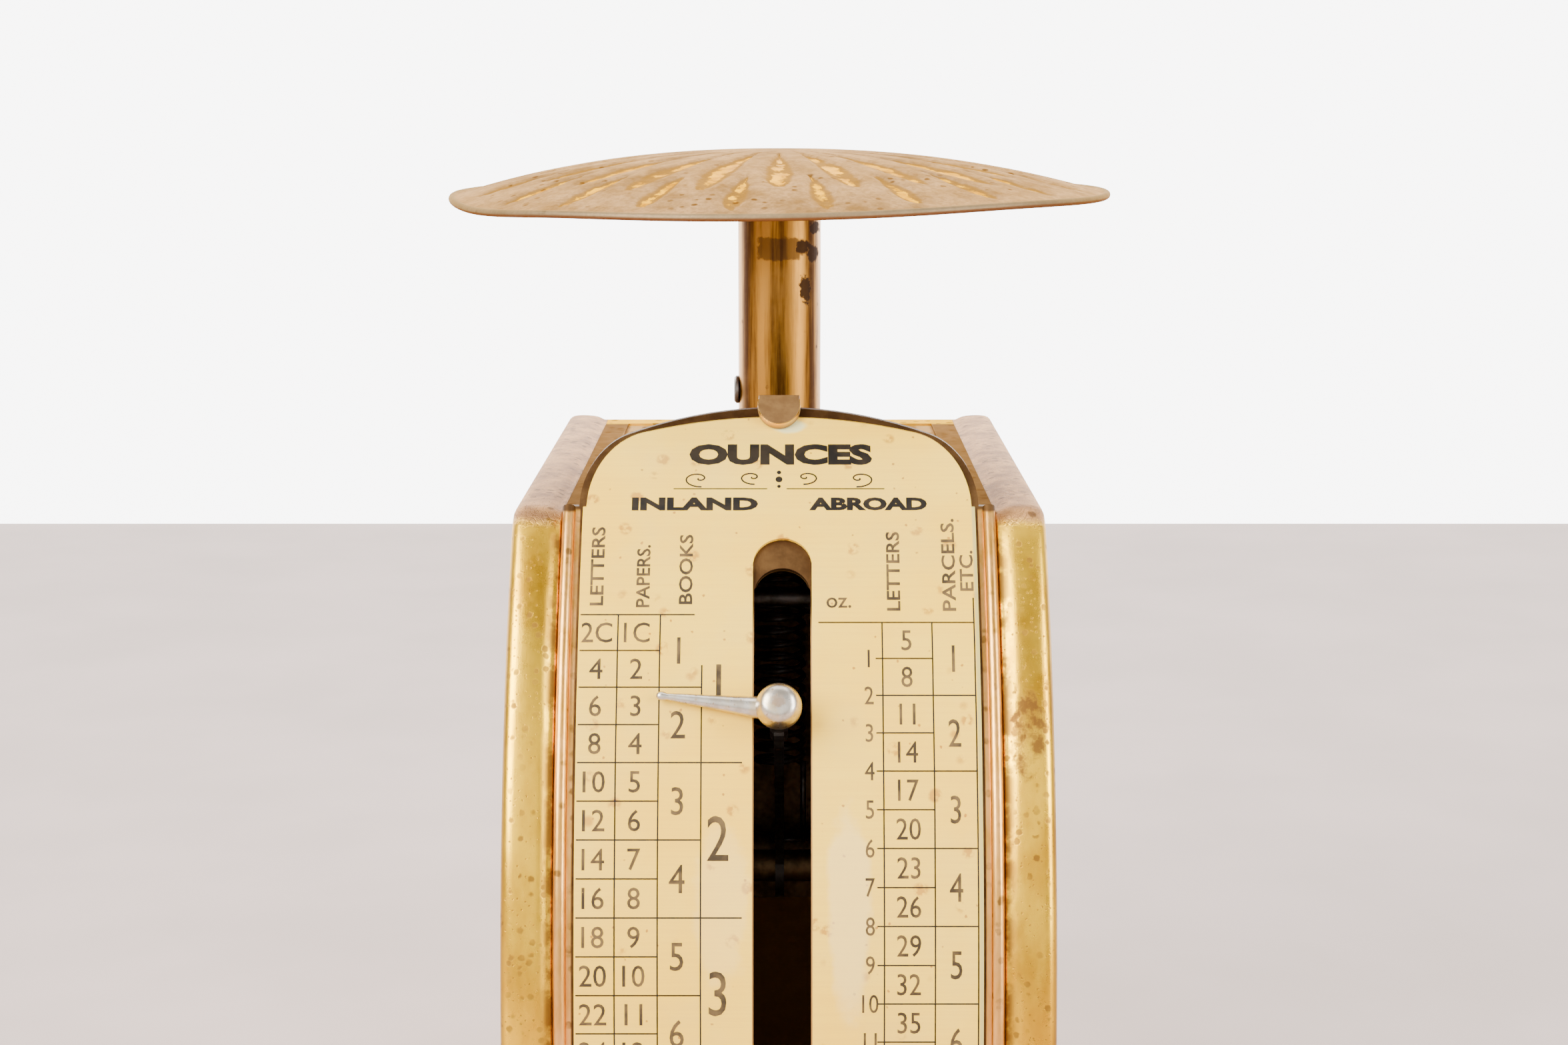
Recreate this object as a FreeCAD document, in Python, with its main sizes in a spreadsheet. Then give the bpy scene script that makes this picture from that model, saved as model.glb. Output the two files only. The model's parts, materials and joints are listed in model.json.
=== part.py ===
import FreeCAD, Part
import math
import os
import re
import Sketcher

# Brass spring letter scale.  Lengths are in millimetres and angles in degrees.
# X points to the right, the dial faces -Y and +Z is up.  The origin is the middle
# of the footprint, on the surface that the scale stands on.
#
# Most pieces are drawn in the fulcrum frame: its origin is the fulcrum pin, which is
# also the centre of the curved front, so a place on the dial is an angle above level.

DIMENSIONS = {
    # case
    "case_width": 63.5, "dial_radius": 101.6, "top_height": 66.0, "back_depth": 7.3,
    "fulcrum_y": 46.13, "fulcrum_z": 36.0, "sheet": 0.8, "flange": 5.9, "edge_round": 0.7,
    "knee_bend": 5.0, "seam": 0.1,
    "base_plate_thickness": 1.6, "corner_round": 2.0,
    "panel_half_width": 22.5, "panel_border": 4.5, "panel_step": 0.3,
    # curved dial
    "holder_half_width": 25.7, "roll_centre": 101.15, "roll_radius": 0.75,
    "foot_angle": 19.7, "roll_top_angle": 40.7, "arch_top_angle": 51.0,
    "arch_half_width": 23.8, "arch_rise": 10.4, "arch_haunch": 8.0, "arch_inset": 0.9,
    "slot_half_width": 3.3, "slot_shift": 0.4, "slot_top_angle": 34.3, "slot_bottom_angle": 10.6,
    "dial_half_width": 23.3, "dial_thickness": 0.5, "dial_gap": 0.05,
    "dial_slot_half_width": 3.45, "dial_slot_top_angle": 36.3,
    "tab_half_width": 2.55, "tab_sheet": 0.9, "tab_angle": 49.8, "tab_front": 2.9, "tab_back": 3.0,
    "tab_gap": 0.15, "tab_round": 2.3,
    # lever work
    "rest_angle": 26.1, "load_arm": 35.0, "load_lag": 12.5, "link_rise": 38.0,
    "blade": 1.2, "blade_end": 94.0, "blade_neck": 28.0, "blade_neck_half": 4.4,
    "blade_waist": 62.0, "blade_waist_half": 2.6, "blade_tip_half": 1.4,
    "blade_heel": 42.0, "blade_heel_drop": 5.2,
    "hub_radius": 4.0, "lobe_radius": 4.2,
    "spring_arm": 21.0, "spring_lag": 5.0, "spring_hole": 0.8,
    "fulcrum_pin_radius": 1.6, "pivot_pin_radius": 1.25, "running_fit": 0.06,
    "pin_head_step": 0.7, "pin_head_thickness": 0.9, "end_play": 0.15,
    "fulcrum_spacer_radius": 2.9, "load_spacer_radius": 2.2,
    "bracket_half_width": 10.4, "bracket_sheet": 1.2, "bracket_reach": 4.5,
    "bracket_bottom": 9.0, "bracket_top": 47.0, "bracket_web": 5.7,
    "yoke_half_width": 8.2, "yoke_sheet": 1.2, "yoke_half_depth": 4.5,
    "yoke_bottom": 4.2, "yoke_top": 52.8, "yoke_bridge": 1.5,
    "link_half_width": 6.2, "link_sheet": 1.2, "link_eye": 3.4,
    "link_web_start": 8.0, "link_web_end": 13.0,
    # pointer
    "stud_radius": 1.1, "stud_root": 88.0, "stud_end": 103.0, "head_end": 106.2,
    "head_base": 2.2, "head_face": 1.9, "head_edge": 0.5,
    "needle_collar": 1.9, "needle_collar_height": 0.95, "needle_level": 102.2,
    "needle_reach": 13.2, "needle_overlap": 0.35,
    "needle_root": 0.75, "needle_tip": 0.32, "needle_tilt": 7.0,
    # load post and pan
    "stem_radius": 3.9, "stem_length": 27.2, "post_radius": 5.5, "post_bottom": 56.0,
    "post_hole": 7.2, "post_hole_shift": 0.3, "screw_height": 74.8,
    "notch_width": 3.0, "notch_front": 2.6, "notch_back": 3.4,
    "screw_head": 1.85, "screw_head_thickness": 0.55, "screw_shank": 1.0,
    "screw_end": 2.4, "screw_edge": 0.25, "driver_slot": 0.24, "driver_slot_depth": 0.3,
    "pan_radius": 43.6, "pan_rim_height": 100.8, "pan_rise": 6.0, "pan_sheet": 0.9,
    "pan_bead": 0.8, "boss_radius": 7.0, "boss_thickness": 1.1, "boss_plug": 8.0,
    "boss_gap": 0.2,
    # spring and its adjuster
    "spring_y": 19.6, "spring_radius": 3.8, "spring_wire": 0.9, "hook_wire": 0.3, "hook_bar": 1.2,
    "spring_low": 18.6,
    "spring_high": 47.0, "eye_height": 54.0, "eye_radius": 2.0, "eye_wire": 0.6,
    "hanger_radius": 1.5, "hanger_top": 68.6, "nut_radius": 3.6, "nut_thickness": 2.2,
    # fasteners
    "rivet_radius": 1.0, "rivet_head": 1.9, "rivet_head_thickness": 0.7, "rivet_x": 6.0,
    "rivet_low": 5.0, "rivet_high": 43.0, "base_screw_radius": 1.3, "base_screw_head": 2.4,
    "base_screw_x": 28.6, "base_screw_back": 4.0, "base_screw_front": 86.0,
    "base_screw_length": 4.0, "base_screw_head_depth": 0.9,
}

X_AXIS = FreeCAD.Vector(1, 0, 0)
Y_AXIS = FreeCAD.Vector(0, 1, 0)
ALIASES = re.compile(r"\b(" + "|".join(sorted(DIMENSIONS, key=len, reverse=True)) + r")\b")

doc = FreeCAD.newDocument("letter_scale")
sheet = doc.addObject("Spreadsheet::Sheet", "dims")
for row, (alias, number) in enumerate(DIMENSIONS.items(), start=1):
    sheet.set(f"A{row}", alias)
    sheet.set(f"B{row}", str(number))
    sheet.setAlias(f"B{row}", alias)
doc.recompute()
probe = doc.addObject("App::FeaturePython", "probe")

NODES = []


# ---------------------------------------------------------------- small helpers

def expression(text):
    """Turn a formula in the sheet's words into an expression another object can hold."""
    return ALIASES.sub(r"dims.\1", str(text))


def value(text):
    return float(probe.evalExpression(expression(text)))


def bind(thing, **formulas):
    for prop, formula in formulas.items():
        thing.setExpression(prop, expression(formula))


def place(thing, x=0, y=0, z=0, angle=0, tilt=0):
    """Put a piece drawn about its own origin at a place in the fulcrum frame."""
    shift = FreeCAD.Vector(value(x), value(f"fulcrum_y + ({y})"), value(f"fulcrum_z + ({z})"))
    turn = FreeCAD.Rotation(X_AXIS, value(angle)) * FreeCAD.Rotation(Y_AXIS, value(tilt))
    thing.Placement = FreeCAD.Placement(shift, turn)
    thing.setExpression(".Placement.Base.x", expression(x))
    thing.setExpression(".Placement.Base.y", expression(f"fulcrum_y + ({y})"))
    thing.setExpression(".Placement.Base.z", expression(f"fulcrum_z + ({z})"))


def node(thing, label):
    thing.Label = label
    NODES.append(thing)
    return thing


def new_body(label):
    return node(doc.addObject("PartDesign::Body", label), label)


def origin_feature(body, role):
    return next(part for part in body.Origin.OriginFeatures if part.Role == role)


def new_sketch(body, plane, offset=None):
    sketch = body.newObject("Sketcher::SketchObject", body.Name + "_sketch")
    sketch.AttachmentSupport = [(origin_feature(body, plane), "")]
    sketch.MapMode = "FlatFace"
    if offset is not None:
        sketch.setExpression(".AttachmentOffset.Base.z", expression(offset))
    return sketch


def fix_point(sketch, geometry, end, x, y):
    for kind, formula in (("DistanceX", x), ("DistanceY", y)):
        rule = sketch.addConstraint(Sketcher.Constraint(kind, -1, 1, geometry, end, value(formula)))
        sketch.setExpression(f"Constraints[{rule}]", expression(formula))


def arc_through(start, finish, radius, bulge):
    """A minor arc between two points; bulge is +1 to the left of the way it runs."""
    chord = finish - start
    half = chord.Length / 2
    left = FreeCAD.Vector(-chord.y, chord.x, 0).normalize()
    middle = (start + finish) * 0.5 + left * bulge * (radius - math.sqrt(radius**2 - half**2))
    return Part.Arc(start, middle, finish)


def outline(sketch, corners, arcs=None):
    """Close a profile through corners; arcs maps an edge's number to (radius, bulge)."""
    arcs = arcs or {}
    spots = [FreeCAD.Vector(value(x), value(y), 0) for x, y in corners]
    edges = []
    for number, start in enumerate(spots):
        finish = spots[(number + 1) % len(spots)]
        if number in arcs:
            radius, bulge = arcs[number]
            curve = arc_through(start, finish, value(radius), bulge)
            edge = sketch.addGeometry(curve)
            first = 1 if sketch.getPoint(edge, 1).distanceToPoint(start) < 1e-6 else 2
            rule = sketch.addConstraint(Sketcher.Constraint("Radius", edge, value(radius)))
            sketch.setExpression(f"Constraints[{rule}]", expression(radius))
        else:
            edge = sketch.addGeometry(Part.LineSegment(start, finish))
            first = 1
        edges.append((edge, first, 3 - first))
    for number, (edge, first, last) in enumerate(edges):
        following, following_first, _ = edges[(number + 1) % len(edges)]
        sketch.addConstraint(Sketcher.Constraint("Coincident", edge, last, following, following_first))
        fix_point(sketch, edge, first, *corners[number])


def ring(sketch, x, y, radius):
    circle = Part.Circle(FreeCAD.Vector(value(x), value(y), 0), FreeCAD.Vector(0, 0, 1), value(radius))
    edge = sketch.addGeometry(circle)
    rule = sketch.addConstraint(Sketcher.Constraint("Radius", edge, value(radius)))
    sketch.setExpression(f"Constraints[{rule}]", expression(radius))
    fix_point(sketch, edge, 3, x, y)


def box_corners(x0, x1, y0, y1):
    return [(x0, y0), (x1, y0), (x1, y1), (x0, y1)]


def pad(body, sketch, length, side="One side", reverse=False):
    made = body.newObject("PartDesign::Pad", body.Name + "_pad")
    made.Profile = (sketch, [""])
    made.SideType = side
    made.Reversed = reverse
    bind(made, Length=length)
    return made


def pocket(body, sketch, length=None, side="Symmetric", reverse=False):
    """Cut the sketch out of the body, and make sure that something was cut."""
    before = body.Tip
    doc.recompute()
    volume = before.Shape.Volume
    made = body.newObject("PartDesign::Pocket", body.Name + "_pocket")
    made.Profile = (sketch, [""])
    made.SideType = side
    made.Reversed = reverse
    bind(made, Length=length or "4 * dial_radius")
    doc.recompute()
    if made.Shape.Volume > volume - 1e-3:
        raise RuntimeError(f"{body.Label}: {made.Name} cuts nothing")
    return made


def turned(body, plane, axis, corners, arcs=None, down=None, up=None):
    """Revolve a profile about an axis of the body: all the way, or down and up from level."""
    sketch = new_sketch(body, plane)
    outline(sketch, corners, arcs)
    made = body.newObject("PartDesign::Revolution", body.Name + "_turn")
    made.Profile = (sketch, [""])
    made.ReferenceAxis = (origin_feature(body, axis), [""])
    if down is None:
        made.Angle = 360
    else:
        made.Type = "TwoAngles"
        bind(made, Angle=down, Angle2=up)
    return made


def rounded(body, edges, radius):
    shaped = body.Tip
    made = body.newObject("PartDesign::Fillet", body.Name + "_round")
    made.Base = (shaped, edges)
    bind(made, Radius=radius)
    return made


def edges_where(shape, test):
    return [f"Edge{number}" for number, edge in enumerate(shape.Edges, start=1) if test(edge)]


def turned_piece(label, plane, axis, corners, arcs=None, **where):
    body = new_body(label)
    turned(body, plane, axis, corners, arcs)
    place(body, **where)
    return body


def headed_pin(label, radius, half_length, **where):
    """A pin along X with a riveted head on each end."""
    head = f"({radius}) + pin_head_step"
    end = f"({half_length}) + pin_head_thickness"
    profile = [(f"-({end})", "0"), (end, "0"), (end, head), (half_length, head),
               (half_length, radius), (f"-({half_length})", radius),
               (f"-({half_length})", head), (f"-({end})", head)]
    return turned_piece(label, "XY_Plane", "X_Axis", profile, **where)


def arch(half_width, rise, haunch):
    """Three-centred arch: the tangent point on the right haunch and the crown's radius."""
    reach, lift = f"(({half_width}) - ({haunch}))", f"(({rise}) - ({haunch}))"
    drop = f"({reach}^2 - {lift}^2) / (2 * {lift})"
    crown = f"(({rise}) + {drop})"
    share = f"({crown} / ({crown} - ({haunch})))"
    return f"{reach} * {share}", f"{drop} * ({share} - 1)", crown


def front_at(radius, height):
    """How far in front of the fulcrum a circle of this radius passes at this height."""
    return f"-sqrt(({radius})^2 - ({height})^2)"


BASE_TOP = "base_plate_thickness - fulcrum_z"
HOLDER_OUT = "(dial_radius - sheet - dial_gap)"
HOLDER_IN = "(dial_radius - 2 * sheet - dial_gap)"
DIAL_IN = f"({HOLDER_OUT} + dial_gap)"
TOP_UNDER = "(top_height - 2 * sheet)"
BOSS_TOP = "(pan_rim_height + pan_rise - pan_sheet - boss_gap)"
BOSS_LOW = f"({BOSS_TOP} - boss_thickness)"
LOAD_Y = "(-load_arm * cos(rest_angle - load_lag))"
LOAD_Z = "(load_arm * sin(rest_angle - load_lag))"
LINK_Z = f"(link_rise + {LOAD_Z})"


# ---------------------------------------------------------------- case

def side_pan(label, side):
    """A drawn side: a flat cheek whose edge is turned in all round."""
    body = new_body(label)
    cheek = [("back_depth", BASE_TOP), (front_at("dial_radius", BASE_TOP), BASE_TOP),
             (front_at("dial_radius", "top_height"), "top_height"), ("back_depth", "top_height")]
    skin = "(dial_radius - sheet)"
    inner = [("back_depth - sheet", f"{BASE_TOP} + sheet"),
             (front_at(skin, f"{BASE_TOP} + sheet"), f"{BASE_TOP} + sheet"),
             (front_at(skin, "top_height - sheet"), "top_height - sheet"),
             ("back_depth - sheet", "top_height - sheet")]
    sketch = new_sketch(body, "YZ_Plane", f"{side} * case_width / 2")
    outline(sketch, cheek, {1: ("dial_radius", 1)})
    pad(body, sketch, "flange", reverse=side > 0)
    doc.recompute()
    knee = value("top_height") - 1e-6
    bends = edges_where(body.Shape, lambda edge: edge.BoundBox.XLength > 1
                        and edge.BoundBox.ZMin > knee and edge.BoundBox.YMax < 0)
    rounded(body, bends, "knee_bend")
    doc.recompute()
    outside = value(f"{side} * case_width / 2")
    rims = edges_where(body.Shape, lambda edge: all(abs(v.X - outside) < 1e-6 for v in edge.Vertexes))
    rounded(body, rims, "edge_round")
    sketch = new_sketch(body, "YZ_Plane", f"{side} * (case_width / 2 - flange)")
    outline(sketch, inner, {1: (skin, 1)})
    pocket(body, sketch, "flange - sheet", "One side", reverse=side > 0)
    sketch = new_sketch(body, "XY_Plane")
    for y in ("-base_screw_back", "-base_screw_front"):
        ring(sketch, f"{side} * base_screw_x", y, "base_screw_radius")
    pocket(body, sketch, "2 * (fulcrum_z - base_plate_thickness) + 2 * sheet")
    place(body)


def case_plates():
    half = "(case_width / 2 - sheet)"
    body = new_body("top_plate")
    sketch = new_sketch(body, "XY_Plane", TOP_UNDER)
    front = f"{front_at(HOLDER_IN, 'top_height - sheet')} + seam"
    outline(sketch, box_corners(f"-{half}", half, front, "back_depth - sheet"))
    pad(body, sketch, "sheet")
    sketch = new_sketch(body, "XY_Plane", "top_height - sheet")
    outline(sketch, box_corners("-panel_half_width", "panel_half_width", f"{front} + panel_border",
                                "back_depth - sheet - panel_border"))
    pocket(body, sketch, "panel_step", "One side")
    sketch = new_sketch(body, "XY_Plane", "top_height")
    ring(sketch, "0", f"{LOAD_Y} + post_hole_shift", "post_hole")
    ring(sketch, "0", "-spring_y", "hanger_radius")
    pocket(body, sketch, "3 * sheet", "One side")
    sketch = new_sketch(body, "XY_Plane", "top_height")
    outline(sketch, box_corners("-post_radius - notch_width", "0",
                                f"{LOAD_Y} - notch_front", f"{LOAD_Y} + notch_back"))
    pocket(body, sketch, "3 * sheet", "One side")
    place(body)

    body = new_body("back_plate")
    inset, foot = "(case_width / 2 - flange - seam)", f"{BASE_TOP} + sheet"
    sketch = new_sketch(body, "XZ_Plane", "-(back_depth - sheet)")
    outline(sketch, [(f"-{half}", foot), (f"-{inset}", foot), (f"-{inset}", BASE_TOP), (inset, BASE_TOP),
                     (inset, foot), (half, foot), (half, TOP_UNDER), (f"-{half}", TOP_UNDER)])
    for x in ("-rivet_x", "rivet_x"):
        for z in ("-rivet_low", "rivet_high"):
            ring(sketch, x, z, "rivet_radius")
    pad(body, sketch, "sheet")
    place(body)

    body = new_body("base_plate")
    wide = "case_width / 2"
    front = front_at("dial_radius", "fulcrum_z")
    sketch = new_sketch(body, "XY_Plane", "-fulcrum_z")
    outline(sketch, box_corners(f"-{wide}", wide, front, "back_depth"))
    pad(body, sketch, "base_plate_thickness")
    doc.recompute()
    upright = edges_where(body.Shape, lambda edge: edge.BoundBox.ZLength > 1)
    rounded(body, upright, "corner_round")
    for radius, depth in (("base_screw_radius", "2 * base_plate_thickness"),
                          ("base_screw_head", "base_screw_head_depth")):
        sketch = new_sketch(body, "XY_Plane", "-fulcrum_z")
        for x in ("-base_screw_x", "base_screw_x"):
            for y in ("-base_screw_back", "-base_screw_front"):
                ring(sketch, x, y, radius)
        pocket(body, sketch, depth, "One side", reverse=True)
    place(body)


def cut_to_arch(body, inset):
    """Trim the sheet above the case to the arched outline."""
    half, rise = f"(arch_half_width - {inset})", f"(arch_rise - {inset})"
    haunch_x, haunch_z, crown = arch(half, rise, "arch_haunch")
    level = "top_height"
    corners = [(f"-{half}", level), (f"-({haunch_x})", f"{level} + {haunch_z}"),
               (haunch_x, f"{level} + {haunch_z}"), (half, level),
               ("case_width", level), ("case_width", "dial_radius"),
               ("-case_width", "dial_radius"), ("-case_width", level)]
    sketch = new_sketch(body, "XZ_Plane")
    outline(sketch, corners, {0: ("arch_haunch", 1), 1: (crown, 1), 2: ("arch_haunch", 1)})
    pocket(body, sketch)


def cut_slot(body, half_width, top_angle):
    """Cut the round-topped pointer slot, straight back towards the fulcrum."""
    top = f"dial_radius * sin({top_angle})"
    foot = "-dial_radius * sin(slot_bottom_angle)"
    sketch = new_sketch(body, "XZ_Plane")
    outline(sketch, box_corners(f"slot_shift - {half_width}", f"slot_shift + {half_width}", foot, top))
    pocket(body, sketch)
    # The round end is a bore square to the sheet, so its sketch leans back with it.
    sketch = new_sketch(body, "XZ_Plane")
    lean = FreeCAD.Rotation(X_AXIS, -value(top_angle))
    sketch.AttachmentOffset = FreeCAD.Placement(FreeCAD.Vector(), lean)
    ring(sketch, "slot_shift", "0", half_width)
    pocket(body, sketch)


def dial_work():
    body = new_body("dial_holder")
    half = "holder_half_width"
    turned(body, "XY_Plane", "X_Axis", box_corners(f"-{half}", half, f"-{HOLDER_OUT}", f"-{HOLDER_IN}"),
           down="foot_angle", up="arch_top_angle")
    cut_to_arch(body, "0")
    cut_slot(body, "slot_half_width", "slot_top_angle")
    for side in (-1, 1):
        sketch = new_sketch(body, "XY_Plane")
        ring(sketch, f"{side} * (holder_half_width - roll_radius)", "-roll_centre", "roll_radius")
        roll = body.newObject("PartDesign::Revolution", "dial_holder_roll")
        roll.Profile = (sketch, [""])
        roll.ReferenceAxis = (origin_feature(body, "X_Axis"), [""])
        roll.Type = "TwoAngles"
        bind(roll, Angle="foot_angle", Angle2="roll_top_angle")
    place(body)

    body = new_body("dial")
    half = "dial_half_width"
    turned(body, "XY_Plane", "X_Axis",
           box_corners(f"-{half}", half, f"-({DIAL_IN} + dial_thickness)", f"-{DIAL_IN}"),
           down="foot_angle", up="arch_top_angle")
    cut_to_arch(body, "arch_inset")
    cut_slot(body, "dial_slot_half_width", "dial_slot_top_angle")
    place(body)


def retaining_tab():
    """A hook over the top of the arch: front leg on the dial, back leg behind the sheet."""
    body = new_body("retaining_tab")
    front = f"-({DIAL_IN} + dial_thickness + tab_gap)"
    back = f"-({HOLDER_IN} - tab_gap)"
    outside, inside = f"{front} - tab_sheet", f"{back} + sheet"
    hook = [(outside, "-tab_front"), (front, "-tab_front"), (front, "tab_gap"), (back, "tab_gap"),
            (back, "-tab_back"), (inside, "-tab_back"), (inside, "tab_gap + tab_sheet"),
            (outside, "tab_gap + tab_sheet")]
    sketch = new_sketch(body, "YZ_Plane")
    outline(sketch, hook)
    pad(body, sketch, "2 * tab_half_width", "Symmetric")
    doc.recompute()
    low = value("-tab_front")
    lower = edges_where(body.Shape, lambda edge: edge.BoundBox.ZMax < low + 1e-6
                        and edge.BoundBox.YLength > 0.5)
    rounded(body, lower, "tab_round")
    place(body, angle="-tab_angle")


# ---------------------------------------------------------------- lever frame and its pins

def lever_bracket():
    """A channel riveted to the back plate; its cheeks carry the two fixed pivots."""
    body = new_body("lever_bracket")
    wide, inner = "bracket_half_width", "(bracket_half_width - bracket_sheet)"
    web = "(bracket_web - bracket_sheet)"
    sketch = new_sketch(body, "XY_Plane", "-bracket_bottom")
    outline(sketch, [(f"-{wide}", "bracket_web"), (f"-{wide}", "-bracket_reach"),
                     (f"-{inner}", "-bracket_reach"), (f"-{inner}", web),
                     (inner, web), (inner, "-bracket_reach"),
                     (wide, "-bracket_reach"), (wide, "bracket_web")])
    pad(body, sketch, "bracket_bottom + bracket_top")
    sketch = new_sketch(body, "YZ_Plane")
    ring(sketch, "0", "0", "fulcrum_pin_radius")
    ring(sketch, "0", "link_rise", "pivot_pin_radius")
    pocket(body, sketch)
    sketch = new_sketch(body, "XZ_Plane")
    for x in ("-rivet_x", "rivet_x"):
        for z in ("-rivet_low", "rivet_high"):
            ring(sketch, x, z, "rivet_radius")
    pocket(body, sketch)
    doc.recompute()
    reach = value("-bracket_reach")
    corners = edges_where(body.Shape, lambda edge: edge.BoundBox.XLength > 1
                          and edge.BoundBox.YMax < reach + 1e-6)
    rounded(body, corners, "bracket_reach - 1")
    place(body)

    headed_pin("fulcrum_pin", "fulcrum_pin_radius", "bracket_half_width")
    headed_pin("check_link_back_pin", "pivot_pin_radius", "bracket_half_width", z="link_rise")


def spacer_pair(label, inner, outer, bore, wall, **where):
    """Two tubes that keep a moving blade in the middle of its pin."""
    body = new_body(label)
    for side in (-1, 1):
        sketch = new_sketch(body, "YZ_Plane", f"{side} * ({inner})")
        ring(sketch, "0", "0", wall)
        ring(sketch, "0", "0", bore)
        pad(body, sketch, f"({outer}) - ({inner})", reverse=side < 0)
    place(body, **where)


# ---------------------------------------------------------------- main lever and pointer

def main_lever():
    """The blade, drawn with its long arm level; the load arm hangs a little below it."""
    body = new_body("main_lever")
    load = ("-load_arm * cos(load_lag)", "-load_arm * sin(load_lag)")
    hook = ("-spring_arm * cos(spring_lag)", "-spring_arm * sin(spring_lag)")
    profile = [("0", "hub_radius - 0.1"), ("-blade_neck", "blade_neck_half"),
               ("-blade_waist", "blade_waist_half"), ("-blade_end", "blade_tip_half"),
               ("-blade_end", "-blade_tip_half"), ("-blade_waist", "-blade_waist_half"),
               ("-blade_heel", "-blade_heel_drop"),
               (f"{load[0]} - lobe_radius / 2", f"{load[1]} - lobe_radius / 2"),
               (load[0], f"{load[1]} - lobe_radius + 0.1"), ("0", "-hub_radius + 0.1")]
    sketch = new_sketch(body, "YZ_Plane")
    outline(sketch, profile)
    pad(body, sketch, "blade", "Symmetric")
    for centre, radius in ((("0", "0"), "hub_radius"), (load, "lobe_radius")):
        sketch = new_sketch(body, "YZ_Plane")
        ring(sketch, *centre, radius)
        pad(body, sketch, "blade", "Symmetric")
    sketch = new_sketch(body, "YZ_Plane")
    ring(sketch, "0", "0", "fulcrum_pin_radius + running_fit")
    ring(sketch, *load, "pivot_pin_radius + running_fit")
    ring(sketch, *hook, "spring_hole")
    pocket(body, sketch)
    place(body, angle="-rest_angle")

    spacer_pair("fulcrum_spacers", "blade / 2", "bracket_half_width - bracket_sheet - end_play",
                "fulcrum_pin_radius + running_fit", "fulcrum_spacer_radius", angle="-rest_angle")


def pointer():
    """Stud through the dial slot, its domed head and the needle that is set under the head."""
    body = new_body("pointer_stud")
    turned(body, "XY_Plane", "Y_Axis", box_corners("0", "stud_radius", "-stud_end", "-stud_root"))
    sketch = new_sketch(body, "XY_Plane")
    outline(sketch, box_corners("-blade / 2", "blade / 2", "-blade_end", "-stud_root + 1"))
    pocket(body, sketch)
    place(body, angle="-rest_angle")

    body = new_body("pointer_head")
    turned(body, "XY_Plane", "Y_Axis", [("0", "-stud_end"), ("0", "-head_end"),
                                        ("head_face - head_edge", "-head_end"),
                                        ("head_face", "-head_end + head_edge"),
                                        ("head_base", "-stud_end - head_edge"),
                                        ("head_base - head_edge", "-stud_end")],
           arcs={2: ("1.1 * head_edge", 1)})
    place(body, angle="-rest_angle")

    # Drawn about the middle of its collar, so that one turn about the stud tilts it.
    body = new_body("pointer_needle")
    sketch = new_sketch(body, "XZ_Plane")
    ring(sketch, "0", "0", "needle_collar")
    ring(sketch, "0", "0", "stud_radius")
    pad(body, sketch, "needle_collar_height", "Symmetric")
    root, tip = "(needle_overlap - needle_collar)", "(needle_reach - needle_tip)"
    turned(body, "XY_Plane", "X_Axis", [(root, "0"), (root, "needle_root"),
                                        (f"-{tip}", "needle_tip"), ("-needle_reach", "0")],
           arcs={2: ("needle_tip", 1)})
    place(body, y="-needle_level * cos(rest_angle)", z="needle_level * sin(rest_angle)",
          angle="-rest_angle", tilt="needle_tilt")


# ---------------------------------------------------------------- load post, pan and check link

def yoke():
    """An inverted channel: the bridge carries the post, the legs carry the load pin."""
    body = new_body("yoke")
    wide, inner = "yoke_half_width", "(yoke_half_width - yoke_sheet)"
    under = "(yoke_top - yoke_bridge)"
    sketch = new_sketch(body, "XZ_Plane")
    outline(sketch, [(f"-{wide}", "yoke_bottom"), (f"-{inner}", "yoke_bottom"), (f"-{inner}", under),
                     (inner, under), (inner, "yoke_bottom"), (wide, "yoke_bottom"),
                     (wide, "yoke_top"), (f"-{wide}", "yoke_top")])
    pad(body, sketch, "2 * yoke_half_depth", "Symmetric")
    sketch = new_sketch(body, "YZ_Plane")
    for z in (LOAD_Z, LINK_Z):
        ring(sketch, "0", z, "pivot_pin_radius")
    pocket(body, sketch)
    doc.recompute()
    low = value("yoke_bottom")
    corners = edges_where(body.Shape, lambda edge: edge.BoundBox.XLength > 1
                          and edge.BoundBox.YLength < 0.1 and edge.BoundBox.ZMax < low + 0.1)
    rounded(body, corners, "yoke_half_depth - 1")
    place(body, y=LOAD_Y)
    headed_pin("load_pin", "pivot_pin_radius", "yoke_half_width", y=LOAD_Y, z=LOAD_Z)
    headed_pin("link_front_pin", "pivot_pin_radius", "yoke_half_width", y=LOAD_Y, z=LINK_Z)
    spacer_pair("load_spacers", "blade / 2", "yoke_half_width - yoke_sheet - end_play",
                "pivot_pin_radius + running_fit", "load_spacer_radius", y=LOAD_Y, z=LOAD_Z)


def bore_for_screw(body):
    sketch = new_sketch(body, "YZ_Plane", "-post_radius - 1")
    ring(sketch, "0", "screw_height", "screw_shank")
    pocket(body, sketch, "post_radius + 1.2 - screw_end", "One side", reverse=True)


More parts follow.
